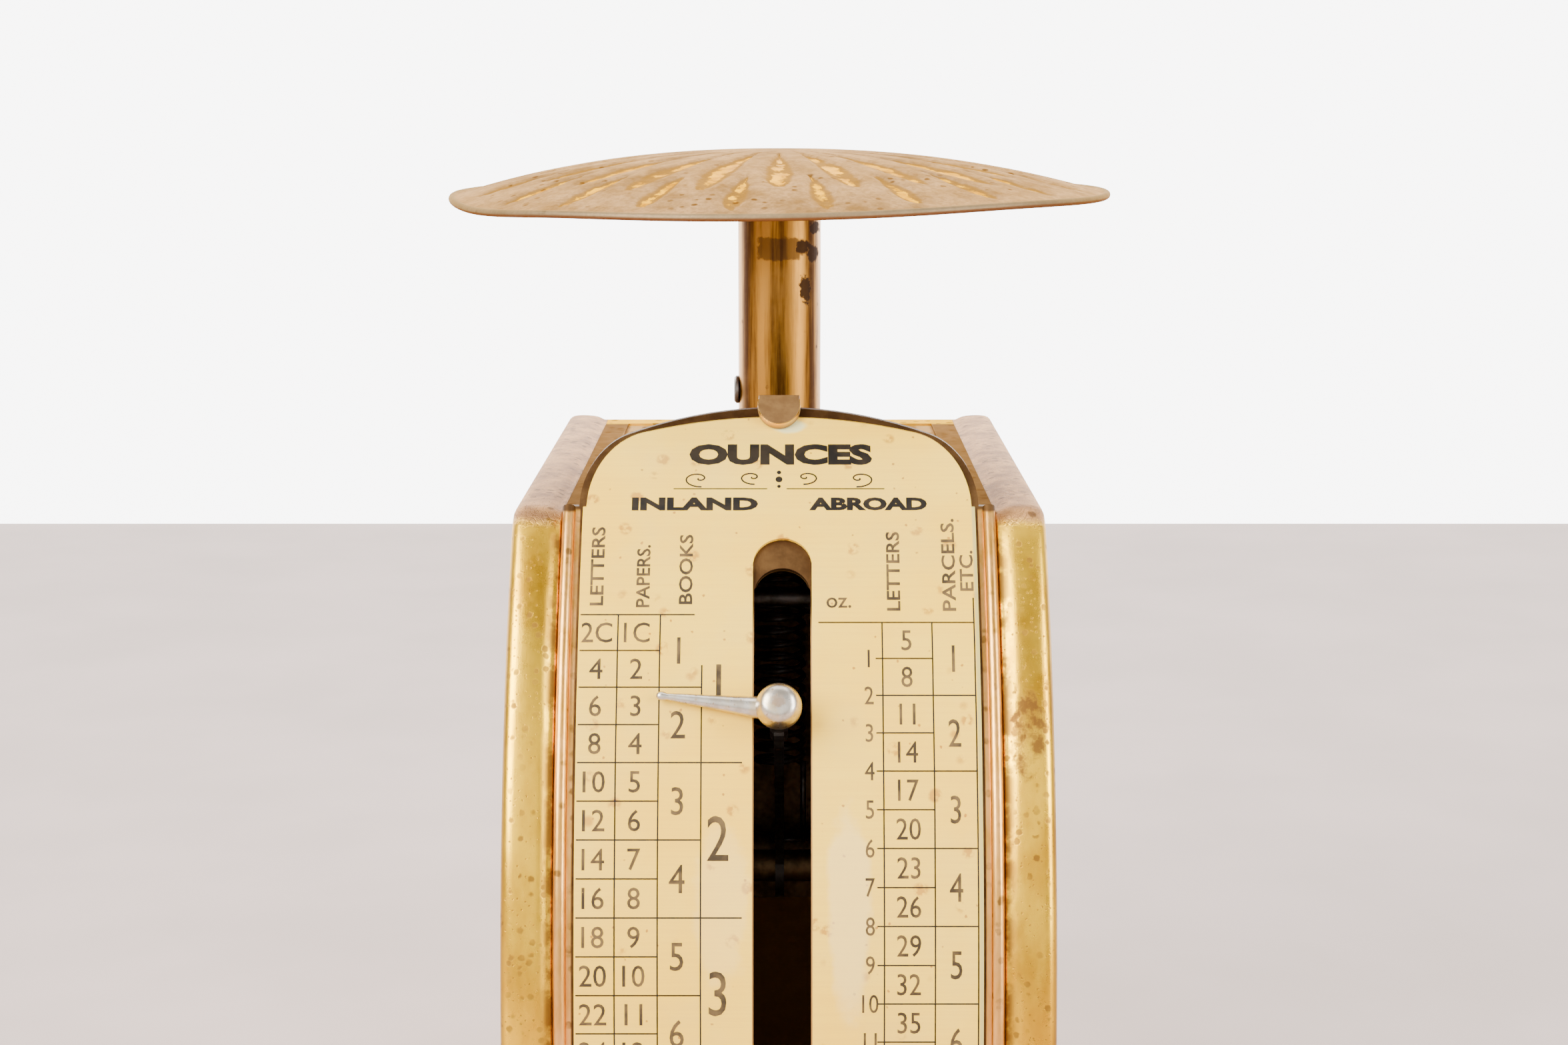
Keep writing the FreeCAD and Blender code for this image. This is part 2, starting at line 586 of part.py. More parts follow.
def post():
    body = new_body("post_stem")
    turned(body, "XZ_Plane", "Z_Axis",
           box_corners("0", "stem_radius", "yoke_top", "yoke_top + stem_length"))
    bore_for_screw(body)
    place(body, y=LOAD_Y)

    body = new_body("pan_post")
    bore = "stem_radius + 0.05"
    turned(body, "XZ_Plane", "Z_Axis", box_corners(bore, "post_radius", "post_bottom", BOSS_LOW))
    bore_for_screw(body)
    place(body, y=LOAD_Y)

    body = new_body("post_screw")
    face = "-post_radius - screw_head_thickness"
    turned(body, "XY_Plane", "X_Axis", [(face, "0"), ("-screw_end", "0"), ("-screw_end", "screw_shank"),
                                        ("-post_radius", "screw_shank"), ("-post_radius", "screw_head"),
                                        (f"{face} + screw_edge", "screw_head"),
                                        (face, "screw_head - screw_edge")])
    sketch = new_sketch(body, "YZ_Plane", face)
    outline(sketch, box_corners("-driver_slot", "driver_slot", "-2 * screw_head", "2 * screw_head"))
    pocket(body, sketch, "driver_slot_depth", "One side", reverse=True)
    place(body, y=LOAD_Y, z="screw_height")


def pan():
    body = new_body("weighing_pan")
    edge = "(pan_radius - pan_bead)"
    crown = "(pan_rise - pan_sheet / 2)"
    dome = f"(({edge}^2 + {crown}^2) / (2 * {crown}))"
    top, rim = "pan_rim_height + pan_rise", "pan_rim_height + pan_sheet / 2"
    turned(body, "XZ_Plane", "Z_Axis", [("0", top), ("0", f"{top} - pan_sheet"),
                                        (edge, f"{rim} - pan_sheet"), (edge, rim)],
           arcs={1: (dome, 1), 3: (dome, -1)})
    sketch = new_sketch(body, "XZ_Plane")
    ring(sketch, edge, "pan_rim_height", "pan_bead")
    bead = body.newObject("PartDesign::Revolution", "pan_bead_turn")
    bead.Profile = (sketch, [""])
    bead.ReferenceAxis = (origin_feature(body, "Z_Axis"), [""])
    bead.Angle = 360
    place(body, y=LOAD_Y)

    turned_piece("pan_boss", "XZ_Plane", "Z_Axis",
                 [("0", BOSS_TOP), ("0", f"{BOSS_LOW} - boss_plug"),
                  ("stem_radius", f"{BOSS_LOW} - boss_plug"),
                  ("stem_radius", BOSS_LOW), ("boss_radius", BOSS_LOW), ("boss_radius", BOSS_TOP)],
                 y=LOAD_Y)


def check_link():
    """Two bars joined by a web; it keeps the post upright."""
    body = new_body("check_link")
    bar = "(link_eye - 0.8)"
    sketch = new_sketch(body, "YZ_Plane")
    outline(sketch, box_corners("-link_web_end", "-link_web_start", f"{bar} - link_sheet", bar))
    pad(body, sketch, "2 * link_half_width", "Symmetric")
    for side in (-1, 1):
        inner = f"{side} * (link_half_width - link_sheet)"
        sketch = new_sketch(body, "YZ_Plane", inner)
        outline(sketch, box_corners("-load_arm", "0", f"-{bar}", bar))
        pad(body, sketch, "link_sheet", reverse=side < 0)
        sketch = new_sketch(body, "YZ_Plane", inner)
        for y in ("0", "-load_arm"):
            ring(sketch, y, "0", "link_eye")
        pad(body, sketch, "link_sheet", reverse=side < 0)
    sketch = new_sketch(body, "YZ_Plane")
    for y in ("0", "-load_arm"):
        ring(sketch, y, "0", "pivot_pin_radius + running_fit")
    pocket(body, sketch)
    place(body, z="link_rise", angle="load_lag - rest_angle")


# ---------------------------------------------------------------- spring and its adjuster

def spring_work():
    hook_z = "(spring_arm * sin(rest_angle - spring_lag))"
    body = new_body("spring")
    inside = "(spring_radius - spring_wire)"
    turned(body, "XZ_Plane", "Z_Axis", box_corners(inside, "spring_radius", "spring_low", "spring_high"))
    # Each hook is a straight wire up the side of the coil with a bar across its end.
    side = "(spring_radius - spring_wire / 2)"
    catch = "(eye_height - eye_radius + eye_wire + hook_wire + 0.05)"
    for start, finish in ((f"{hook_z} - hook_wire - 0.1", "spring_low + 0.5"),
                          ("spring_high - 0.5", f"{catch} + hook_wire + 0.1")):
        sketch = new_sketch(body, "XY_Plane", start)
        ring(sketch, side, "0", "hook_wire + 0.05")
        pad(body, sketch, f"({finish}) - ({start})")
    for level in (hook_z, catch):
        sketch = new_sketch(body, "YZ_Plane", "-hook_bar")
        ring(sketch, "0", level, "hook_wire")
        pad(body, sketch, f"hook_bar + {side}")
    place(body, y="-spring_y")

    body = new_body("spring_hanger")
    sketch = new_sketch(body, "XY_Plane")
    ring(sketch, "0", "eye_radius", "eye_wire")
    eye = body.newObject("PartDesign::Revolution", "hanger_eye")
    eye.Profile = (sketch, [""])
    eye.ReferenceAxis = (origin_feature(body, "X_Axis"), [""])
    eye.Angle = 360
    turned(body, "XZ_Plane", "Z_Axis", [("0", "eye_radius"), ("hanger_radius", "eye_radius + 0.6"),
                                        ("hanger_radius", "hanger_top - eye_height"),
                                        ("0", "hanger_top - eye_height")])
    place(body, y="-spring_y", z="eye_height")

    body = new_body("adjusting_nut")
    sketch = new_sketch(body, "XY_Plane", "top_height - sheet - panel_step")
    corners = [(f"nut_radius * cos({60 * turn})", f"nut_radius * sin({60 * turn})") for turn in range(6)]
    outline(sketch, corners)
    ring(sketch, "0", "0", "hanger_radius")
    pad(body, sketch, "nut_thickness")
    place(body, y="-spring_y")


# ---------------------------------------------------------------- fasteners

def stud_group(label, plane, places, sections, **where):
    """Identical turned fasteners; each section is (offset, length, radius) along the normal."""
    body = new_body(label)
    for offset, length, radius in sections:
        sketch = new_sketch(body, plane, offset)
        for x, y in places:
            ring(sketch, x, y, radius)
        pad(body, sketch, length)
    place(body, **where)
    return body


def fasteners():
    spots = [(x, z) for x in ("-rivet_x", "rivet_x") for z in ("-rivet_low", "rivet_high")]
    back = "-(back_depth - sheet)"
    stud_group("bracket_rivets", "XZ_Plane", spots,
               [(back, "sheet + bracket_sheet", "rivet_radius"),
                (f"{back} - rivet_head_thickness", "rivet_head_thickness", "rivet_head"),
                (f"{back} + sheet + bracket_sheet", "rivet_head_thickness", "rivet_head")])
    spots = [(x, y) for x in ("-base_screw_x", "base_screw_x")
             for y in ("-base_screw_back", "-base_screw_front")]
    face = "seam - base_screw_head_depth"
    screws = stud_group("base_screws", "XY_Plane", spots,
                        [("0", "base_screw_length", "base_screw_radius"),
                         (face, "base_screw_head_depth - seam", "base_screw_head")],
                        z="base_screw_head_depth - fulcrum_z")
    sketch = new_sketch(screws, "XY_Plane", face)
    for x, y in spots:
        outline(sketch, box_corners(f"{x} - base_screw_head - 0.1", f"{x} + base_screw_head + 0.1",
                                    f"{y} - driver_slot", f"{y} + driver_slot"))
    pocket(screws, sketch, "driver_slot_depth", "One side", reverse=True)


# ---------------------------------------------------------------- build and write

side_pan("side_pan_left", -1)
side_pan("side_pan_right", 1)
case_plates()
dial_work()
retaining_tab()
lever_bracket()
main_lever()
pointer()
yoke()
post()
pan()
check_link()
spring_work()
fasteners()
doc.recompute()

failed = [thing.Name for thing in doc.Objects if "Invalid" in thing.State or "Error" in thing.State]
if failed:
    raise RuntimeError(f"features failed: {failed}")
for piece in NODES:
    if piece.Shape.isNull() or not piece.Shape.isValid():
        raise RuntimeError(f"{piece.Label} has no valid shape")

os.makedirs("parts", exist_ok=True)
for piece in NODES:
    piece.Shape.exportStep(f"parts/{piece.Label}.step")
print(f"{len(NODES)} parts written")
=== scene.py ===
import json
import random
from math import atan2, cos, degrees, exp, hypot, pi, radians, sin, sqrt, tau

import bmesh
import bpy
from mathutils import Matrix, Vector


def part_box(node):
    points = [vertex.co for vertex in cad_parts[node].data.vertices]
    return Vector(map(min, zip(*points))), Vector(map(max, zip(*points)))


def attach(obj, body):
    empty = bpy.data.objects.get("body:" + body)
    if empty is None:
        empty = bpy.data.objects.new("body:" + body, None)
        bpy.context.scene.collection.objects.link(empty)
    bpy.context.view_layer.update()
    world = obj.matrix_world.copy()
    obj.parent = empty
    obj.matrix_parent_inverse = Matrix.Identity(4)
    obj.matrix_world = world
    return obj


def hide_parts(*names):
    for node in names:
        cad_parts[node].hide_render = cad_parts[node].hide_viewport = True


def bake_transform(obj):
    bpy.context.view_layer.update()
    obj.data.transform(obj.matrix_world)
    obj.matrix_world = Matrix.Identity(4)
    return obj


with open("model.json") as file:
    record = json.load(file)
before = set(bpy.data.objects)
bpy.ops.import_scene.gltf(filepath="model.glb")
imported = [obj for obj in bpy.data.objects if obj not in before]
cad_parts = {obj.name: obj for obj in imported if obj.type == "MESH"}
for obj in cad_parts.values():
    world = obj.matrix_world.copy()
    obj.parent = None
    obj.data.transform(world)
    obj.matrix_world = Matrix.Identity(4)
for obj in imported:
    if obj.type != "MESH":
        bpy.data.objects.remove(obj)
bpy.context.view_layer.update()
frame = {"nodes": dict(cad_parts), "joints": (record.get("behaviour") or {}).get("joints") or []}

# Lengths are in metres.  Patterns are laid out in millimetres, from Object coordinates.
MM = 0.001

# ---- places, from the frame

JOINTS = {joint["name"]: joint for joint in frame["joints"]}
FULCRUM = Vector(JOINTS["lever_pivot"]["pos_m"])
LOAD = Vector(JOINTS["load_pivot"]["pos_m"])
CASE_HALF, CASE_BACK, CASE_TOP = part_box("side_pan_right")[1]
FRONT_RADIUS = 101.6 * MM
DIAL_RADIUS = 101.3 * MM
LEVER_REST = 26.1
PAN_LOW, PAN_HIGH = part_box("weighing_pan")
PAN_RADIUS = PAN_HIGH.x
at = Matrix.Translation
QUARTER = {axis: Matrix.Rotation(radians(90), 4, axis) for axis in "XYZ"}


# ---- making pieces

def new_object(name, data):
    made = bpy.data.objects.new(name, data)
    bpy.context.scene.collection.objects.link(made)
    return made


def finish(mesh, name, material, body="case", smooth=True, replaces=()):
    """Turn a bmesh into a piece that rides on a body and stands for CAD nodes."""
    bmesh.ops.recalc_face_normals(mesh, faces=mesh.faces)
    data = bpy.data.meshes.new(name)
    mesh.to_mesh(data)
    mesh.free()
    for face in data.polygons:
        face.use_smooth = smooth
    piece = new_object(name, data)
    data.materials.append(material)
    if replaces:
        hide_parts(*replaces)
    if body:
        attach(piece, body)
    return piece


def spun(mesh, profile, steps, axis="Z"):
    """Revolve (radius, height) points about an axis through the origin, poles merged."""
    verts = [mesh.verts.new((radius, 0, height)) for radius, height in profile]
    edges = [mesh.edges.new(pair) for pair in zip(verts, verts[1:])]
    bmesh.ops.spin(mesh, geom=verts + edges, cent=(0, 0, 0), axis=(0, 0, 1), dvec=(0, 0, 0),
                   angle=tau, steps=steps, use_merge=True, use_normal_flip=False,
                   use_duplicate=False)
    bmesh.ops.remove_doubles(mesh, verts=mesh.verts, dist=1e-6)
    mesh.transform({"Z": Matrix(), "X": QUARTER["Y"], "Y": QUARTER["X"]}[axis])


def rod(mesh, segments, radius, depth, matrix):
    return bmesh.ops.create_cone(mesh, cap_ends=True, segments=segments, radius1=radius, radius2=radius,
                                 depth=depth, matrix=matrix)


def bevel(mesh, edges, width, segments=2):
    bmesh.ops.bevel(mesh, geom=list(edges), offset=width, offset_type="OFFSET", segments=segments,
                    profile=0.5, affect="EDGES", clamp_overlap=True, material=-1)


def cut(mesh, height, clear=False):
    """Cut a flat layout along a level line, and drop what is above it if asked."""
    bmesh.ops.bisect_plane(mesh, geom=[*mesh.verts, *mesh.edges, *mesh.faces], plane_co=(0, height, 0),
                           plane_no=(0, 1, 0), clear_outer=clear)


def fill_holes(mesh):
    bmesh.ops.holes_fill(mesh, edges=[edge for edge in mesh.edges if edge.is_boundary])


def lever_frame(radius, angle=LEVER_REST):
    """Frame at a place on the curved front: Y points back to the fulcrum, Z up the curve."""
    return (at(FULCRUM) @ Matrix.Rotation(radians(-angle), 4, "X")
            @ at((0, -radius, 0)))


# ---- node wiring

def feed(tree, socket, source):
    if isinstance(source, bpy.types.NodeSocket):
        tree.links.new(source, socket)
    else:
        socket.default_value = source


def put(tree, kind, inputs=None, **settings):
    """Add a node, set it, and feed its inputs with numbers or with other sockets."""
    made = tree.nodes.new("ShaderNode" + kind)
    for name, setting in settings.items():
        setattr(made, name, setting)
    for name, source in (inputs or {}).items():
        feed(tree, made.inputs[name], source)
    return made


def sums(tree, operation, *terms, clamp=False):
    made = put(tree, "Math", dict(enumerate(terms)), operation=operation, use_clamp=clamp)
    return made.outputs[0]


def times(tree, first, second):
    return sums(tree, "MULTIPLY", first, second)


def plus(tree, first, second):
    return sums(tree, "ADD", first, second)


def axes(tree, place):
    return put(tree, "SeparateXYZ", {0: place}).outputs


def rise(tree, source, low, high, to_low=0.0, to_high=1.0):
    """Smooth step from one value to another as the source goes from low to high."""
    made = put(tree, "MapRange", {"Value": source, "From Min": low, "From Max": high,
                                  "To Min": to_low, "To Max": to_high},
               interpolation_type="SMOOTHSTEP")
    return made.outputs["Result"]


def fall(tree, source, low, high):
    return rise(tree, source, low, high, 1.0, 0.0)


def blend_colour(tree, share, low, high, way="MIX"):
    made = put(tree, "Mix", {0: share}, data_type="RGBA", blend_type=way)
    for number, source in ((6, low), (7, high)):
        if not isinstance(source, bpy.types.NodeSocket):
            source = (*source, 1.0)
        feed(tree, made.inputs[number], source)
    return made.outputs[2]


def tint(tree, colour, tone, mask, share):
    """Lay a tone over a colour where the mask is, as strongly as the share says."""
    return blend_colour(tree, times(tree, mask, share), colour, tone)


def noise(tree, place, scale, detail=3.0, roughness=0.55, seed=0.0, output="Fac"):
    made = put(tree, "TexNoise", {"Vector": place, "Scale": scale, "Detail": detail,
                                  "Roughness": roughness, "W": seed}, noise_dimensions="4D")
    return made.outputs[output]


def uneven(tree, place, base, amount, *grain):
    """A value that wanders up from a base by a cloudy amount."""
    return plus(tree, base, times(tree, noise(tree, place, *grain), amount))


def stretched(tree, place, factors):
    return put(tree, "VectorMath", {0: place, 1: factors}, operation="MULTIPLY").outputs[0]


def moved(tree, place, centre):
    return put(tree, "VectorMath", {0: place, 1: centre}, operation="SUBTRACT").outputs[0]


def length(tree, place):
    return put(tree, "VectorMath", {0: place}, operation="LENGTH").outputs["Value"]


def from_fulcrum(tree, place):
    """How far a place is from the line that the lever turns on, in millimetres."""
    away = moved(tree, place, (0.0, FULCRUM.y / MM, FULCRUM.z / MM))
    return length(tree, stretched(tree, away, (0, 1, 1)))


def new_group(name, inputs, output):
    """A node group that makes one value out of places, lengths and plain values."""
    tree = bpy.data.node_groups.new(name, "ShaderNodeTree")
    for way, sockets in (("INPUT", inputs), ("OUTPUT", (output,))):
        for socket in sockets:
            kind = "Vector" if socket in ("Place", "Centre", "Reach", "Stretch") else "Float"
            tree.interface.new_socket(socket, in_out=way, socket_type="NodeSocket" + kind)
    return tree, tree.nodes.new("NodeGroupInput").outputs, tree.nodes.new("NodeGroupOutput").inputs


def use_group(tree, group, *sources):
    made = tree.nodes.new("ShaderNodeGroup")
    made.node_tree = group
    for socket, source in zip(made.inputs, sources):
        feed(tree, socket, source)
    return made.outputs[0]


def make_blotches():
    """Uneven patches: a mask that is 1 where the cloudy noise is above the level."""
    tree, given, out = new_group("blotches", ("Place", "Scale", "Level", "Softness", "Seed"), "Mask")
    cloud = noise(tree, given["Place"], given["Scale"], 5.0, 0.6, given["Seed"])
    low = sums(tree, "SUBTRACT", given["Level"], given["Softness"])
    high = plus(tree, given["Level"], given["Softness"])
    feed(tree, out["Mask"], rise(tree, cloud, low, high))
    return tree


def make_specks():
    """Scattered round specks: Share is how many of the cells hold one."""
    tree, given, out = new_group("specks", ("Place", "Scale", "Size", "Share"), "Mask")
    bend = noise(tree, given["Place"], times(tree, given["Scale"], 2.5), 2.0, 0.5, 3.0, "Color")
    shaken = put(tree, "VectorMath", {0: bend, 1: (0.35, 0.35, 0.35), 2: given["Place"]},
                 operation="MULTIPLY_ADD").outputs[0]
    cells = put(tree, "TexVoronoi", {"Vector": shaken, "Scale": given["Scale"]})
    inner = times(tree, given["Size"], 0.55)
    dot = fall(tree, cells.outputs["Distance"], inner, given["Size"])
    chance = put(tree, "SeparateColor", {"Color": cells.outputs["Color"]}).outputs["Red"]
    held = sums(tree, "LESS_THAN", chance, given["Share"])
    feed(tree, out["Mask"], times(tree, dot, held))
    return tree


def make_stain():
    """A ragged mark at one place: 1 inside, fading out at Reach from Centre."""
    tree, given, out = new_group("stain", ("Place", "Centre", "Reach", "Raggedness", "Scale"), "Mask")
    away = moved(tree, given["Place"], given["Centre"])
    share = put(tree, "VectorMath", {0: away, 1: given["Reach"]}, operation="DIVIDE").outputs[0]
    distance = length(tree, share)
    cloud = noise(tree, given["Place"], given["Scale"], 4.0, 0.6, 7.0)
    ragged = times(tree, sums(tree, "SUBTRACT", cloud, 0.5), given["Raggedness"])
    feed(tree, out["Mask"], fall(tree, plus(tree, distance, ragged), 0.75, 1.1))
    return tree


def make_scuffs():
    """Height of hair-fine scratches along the stretch, with a little orange peel."""
    tree, given, out = new_group("scuffs", ("Place", "Stretch", "Depth"), "Height")
    run = stretched(tree, given["Place"], given["Stretch"])
    lines = noise(tree, run, 1.0, 4.0, 0.7, 1.0)
    peel = noise(tree, given["Place"], 1.1, 2.0, 0.5, 2.0)
    height = plus(tree, lines, times(tree, peel, 0.6))
    feed(tree, out["Height"], times(tree, height, given["Depth"]))
    return tree


def make_inside():
    """1 in the shut-in space of the case, where the brass gets painted shade."""
    tree, given, out = new_group("inside of case", ("Place",), "Mask")
    radius = from_fulcrum(tree, given["Place"])
    apart = axes(tree, given["Place"])
    mask = fall(tree, radius, FRONT_RADIUS / MM - 1.75, FRONT_RADIUS / MM - 1.55)
    for reach, limit in ((sums(tree, "ABSOLUTE", apart[0]), CASE_HALF / MM - 0.75),
                         (apart[1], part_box("back_plate")[1].y / MM - 0.3),
                         (apart[2], CASE_TOP / MM - 1.25),
                         (times(tree, apart[2], -1.0), -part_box("base_plate")[0].z / MM - 0.3)):
        mask = times(tree, mask, fall(tree, reach, limit, limit + 0.15))
    feed(tree, out["Mask"], mask)
    return tree


BLOTCHES = make_blotches()
SPECKS = make_specks()
STAIN = make_stain()
SCUFFS = make_scuffs()
INSIDE = make_inside()


def blotches(tree, place, scale, level, softness, seed=0.0):
    return use_group(tree, BLOTCHES, place, scale, level, softness, seed)


def specks(tree, place, scale, size, share):
    return use_group(tree, SPECKS, place, scale, size, share)


def stain(tree, place, centre, reach, raggedness=0.8, scale=0.5):
    return use_group(tree, STAIN, place, centre, reach, raggedness, scale)


def scuffs(tree, place, stretch, depth):
    return use_group(tree, SCUFFS, place, stretch, depth)


def either(tree, *masks):
    """The strongest of several masks."""
    best = masks[0]
    for mask in masks[1:]:
        best = sums(tree, "MAXIMUM", best, mask)
    return best


def both(tree, *masks):
    shared = masks[0]
    for mask in masks[1:]:
        shared = times(tree, shared, mask)
    return shared


def layered(tree, *marks):
    """The strongest of several marks; each is a mask and how much of it shows."""
    return either(tree, *[times(tree, mask, share) for mask, share in marks])


def patchy_specks(tree, place, spots, patches):
    """Specks that keep to cloudy patches."""
    return both(tree, specks(tree, place, *spots), blotches(tree, place, *patches))


def new_material(name):
    material = bpy.data.materials.new(name)
    material.use_nodes = True
    tree = material.node_tree
    shader = tree.nodes["Principled BSDF"]
    coordinates = put(tree, "TexCoord").outputs["Object"]
    place = put(tree, "VectorMath", {0: coordinates, "Scale": 1 / MM}, operation="SCALE").outputs[0]
    return material, tree, shader, place


def bumped(tree, shader, height):
    """Heights are in millimetres."""
    bump = put(tree, "Bump", {"Height": height, "Distance": MM, "Strength": 1.0})
    feed(tree, shader.inputs["Normal"], bump.outputs["Normal"])


def set_shader(tree, shader, **sources):
    for name, source in sources.items():
        feed(tree, shader.inputs[name.replace("_", " ")], source)


def set_metal(tree, shader, colour, rough, **sources):
    set_shader(tree, shader, Base_Color=colour, Roughness=rough, Metallic=1.0, **sources)


# ---- finishes

GOLD = (0.98, 0.58, 0.02)
DEEP_GOLD = (0.64, 0.32, 0.008)
BROWN = (0.09, 0.036, 0.012)
TAN = (0.60, 0.33, 0.13)
DARK_TAN = (0.32, 0.165, 0.07)
INSIDE_SHADE = (0.42, 0.23, 0.06)
# Painted shade for the brass inside the shut case.
WARM_EDGE = (0.6, 0.45, 0.3, 1)
ROLL_EDGE = 23.55       # where the rolled edge of the dial's holder begins, in millimetres
HOLDER_RIM = 101.4      # and how high its plain part goes


def metal_mix(tree, place, bright, deep, scale, seed=0.0):
    """A metal colour that drifts between two tones over a few millimetres."""
    drift = noise(tree, place, scale, 4.0, 0.6, seed)
    return blend_colour(tree, rise(tree, drift, 0.36, 0.66), bright, deep)


def shut_in(tree, place, colour):
    """Darken a colour inside the case with painted shade; gives back the colour and the mask."""
    inside = use_group(tree, INSIDE, place)
    return blend_colour(tree, inside, colour, INSIDE_SHADE), inside


def drawn_side_brass():
    """Bright gold bands beside the dial, dull crazed tan on the top, painted shade inside."""
    material, tree, shader, place = new_material("drawn side brass")
    apart = axes(tree, place)
    across = sums(tree, "ABSOLUTE", apart[0])
    inward = sums(tree, "SUBTRACT", CASE_HALF / MM, across)
    top = rise(tree, plus(tree, apart[2], times(tree, noise(tree, place, 0.5), 1.2)),
               CASE_TOP / MM - 1.7, CASE_TOP / MM - 0.2)

    gold = metal_mix(tree, stretched(tree, place, (1.0, 1.0, 0.35)), GOLD, DEEP_GOLD, 0.16)
    freckles = patchy_specks(tree, place, (0.85, 0.42, 0.5), (0.12, 0.46, 0.12, 4.0))
    small = specks(tree, place, 2.2, 0.35, 0.25)
    seam = both(tree, rise(tree, inward, 4.2, 5.7), blotches(tree, place, 0.35, 0.47, 0.09, 2.0))
    lip = fall(tree, inward, 0.1, 0.9)
    patch = stain(tree, place, (28.6, -48.0, 79.0), (2.0, 12.0, 5.0), 2.2, 0.45)
    worn = both(tree, patch, blotches(tree, place, 0.5, 0.46, 0.1, 8.0))
    dirt = layered(tree, (freckles, 0.75), (small, 0.6), (seam, 0.85), (worn, 0.9), (lip, 0.55))
    front = blend_colour(tree, dirt, gold, (0.15, 0.062, 0.020))
    cheek = fall(tree, inward, 0.02, 0.3)
    patina = metal_mix(tree, stretched(tree, place, (1.0, 1.0, 0.7)), (0.62, 0.36, 0.06), (0.50, 0.27, 0.035),
                       0.05, 12.0)
    cloudy = blotches(tree, place, 0.9, 0.5, 0.12, 13.0)
    patina = tint(tree, patina, (0.34, 0.17, 0.03), cloudy, 0.22)
    stained = both(tree, blotches(tree, place, 0.045, 0.55, 0.07, 14.0), noise(tree, place, 0.5, 4.0))
    patina = blend_colour(tree, stained, patina, (0.20, 0.095, 0.03))
    patina = tint(tree, patina, BROWN, either(tree, freckles, small), 0.5)
    front = blend_colour(tree, cheek, front, patina)

    crazed = put(tree, "TexVoronoi", {"Vector": place, "Scale": 1.7, "Randomness": 1.0},
                 feature="DISTANCE_TO_EDGE").outputs["Distance"]
    cracks = fall(tree, crazed, 0.0, 0.13)
    tan = metal_mix(tree, place, TAN, DARK_TAN, 0.35, 5.0)
    dull = tint(tree, tan, DARK_TAN, cracks, 0.45)
    dull = tint(tree, dull, BROWN, specks(tree, place, 0.7, 0.4, 0.35), 0.6)
    colour = blend_colour(tree, top, front, dull)
    colour, inside = shut_in(tree, place, colour)

    rough = uneven(tree, place, 0.2, 0.16, 0.6, 4.0, 0.6, 6.0)
    rough = plus(tree, rough, times(tree, dirt, 0.3))
    rough = sums(tree, "MAXIMUM", rough, times(tree, top, 0.66))
    rough = sums(tree, "MAXIMUM", rough, times(tree, inside, 0.7), clamp=True)
    set_metal(tree, shader, colour, rough)

    height = scuffs(tree, place, (6.0, 0.5, 0.5), 0.010)
    pits = times(tree, both(tree, top, cracks), -0.06)
    grit = times(tree, both(tree, top, noise(tree, place, 3.0, 4.0, 0.7)), 0.10)
    wear = times(tree, dirt, -0.02)
    for extra in (pits, grit, wear):
        height = plus(tree, height, extra)
    bumped(tree, shader, height)
    return material


def top_brass():
    """The sunk top: a strip of painted shadow and a light strip beside the bands, a dull panel, gold at the
    back.
    """
    material, tree, shader, place = new_material("sunk top brass")
    apart = axes(tree, place)
    across = sums(tree, "ABSOLUTE", apart[0])
    wander = times(tree, noise(tree, place, 0.3, 3.0), 0.8)
    edge = plus(tree, across, wander)
    # Painted shadow: the dark strip along the bands, where the flange's edge shades the top.
    dark = rise(tree, edge, 22.7, 23.1)
    light = both(tree, rise(tree, edge, 20.3, 20.9), fall(tree, edge, 22.3, 22.7))
    colour = metal_mix(tree, place, (0.40, 0.235, 0.115), (0.22, 0.12, 0.055), 0.25, 2.0)
    colour = tint(tree, colour, (0.15, 0.085, 0.045), dark, 0.75)
    colour = tint(tree, colour, (0.55, 0.36, 0.17), light, 0.7)
    back = rise(tree, apart[1], CASE_BACK / MM - 6.5, CASE_BACK / MM - 5.0)
    colour = tint(tree, colour, GOLD, back, 0.8)
    colour = tint(tree, colour, BROWN, specks(tree, place, 0.6, 0.4, 0.4), 0.6)
    colour = shut_in(tree, place, colour)[0]
    rough = uneven(tree, place, 0.55, 0.3, 0.7, 4.0)
    set_metal(tree, shader, colour, rough, Specular_Tint=WARM_EDGE)
    bumped(tree, shader, scuffs(tree, place, (0.5, 5.0, 0.5), 0.02))
    return material


def plate_brass(name, bright, deep, rough_low):
    """Plain sheet brass with an even brown patina, and painted shade where the case shuts it in."""
    material, tree, shader, place = new_material(name)
    colour = metal_mix(tree, place, bright, deep, 0.12, 3.0)
    spots = patchy_specks(tree, place, (1.1, 0.3, 0.5), (0.1, 0.48, 0.1))
    colour = tint(tree, colour, BROWN, spots, 0.7)
    stained = both(tree, blotches(tree, place, 0.06, 0.54, 0.07, 14.0), noise(tree, place, 0.5, 4.0))
    colour = blend_colour(tree, stained, colour, (0.22, 0.11, 0.035))
    colour, inside = shut_in(tree, place, colour)
    rough = uneven(tree, place, rough_low, 0.3, 0.4, 4.0)
    rough = sums(tree, "MAXIMUM", rough, times(tree, inside, 0.7), clamp=True)
    set_metal(tree, shader, colour, rough)
    bumped(tree, shader, scuffs(tree, place, (0.6, 0.6, 4.0), 0.02))
    return material


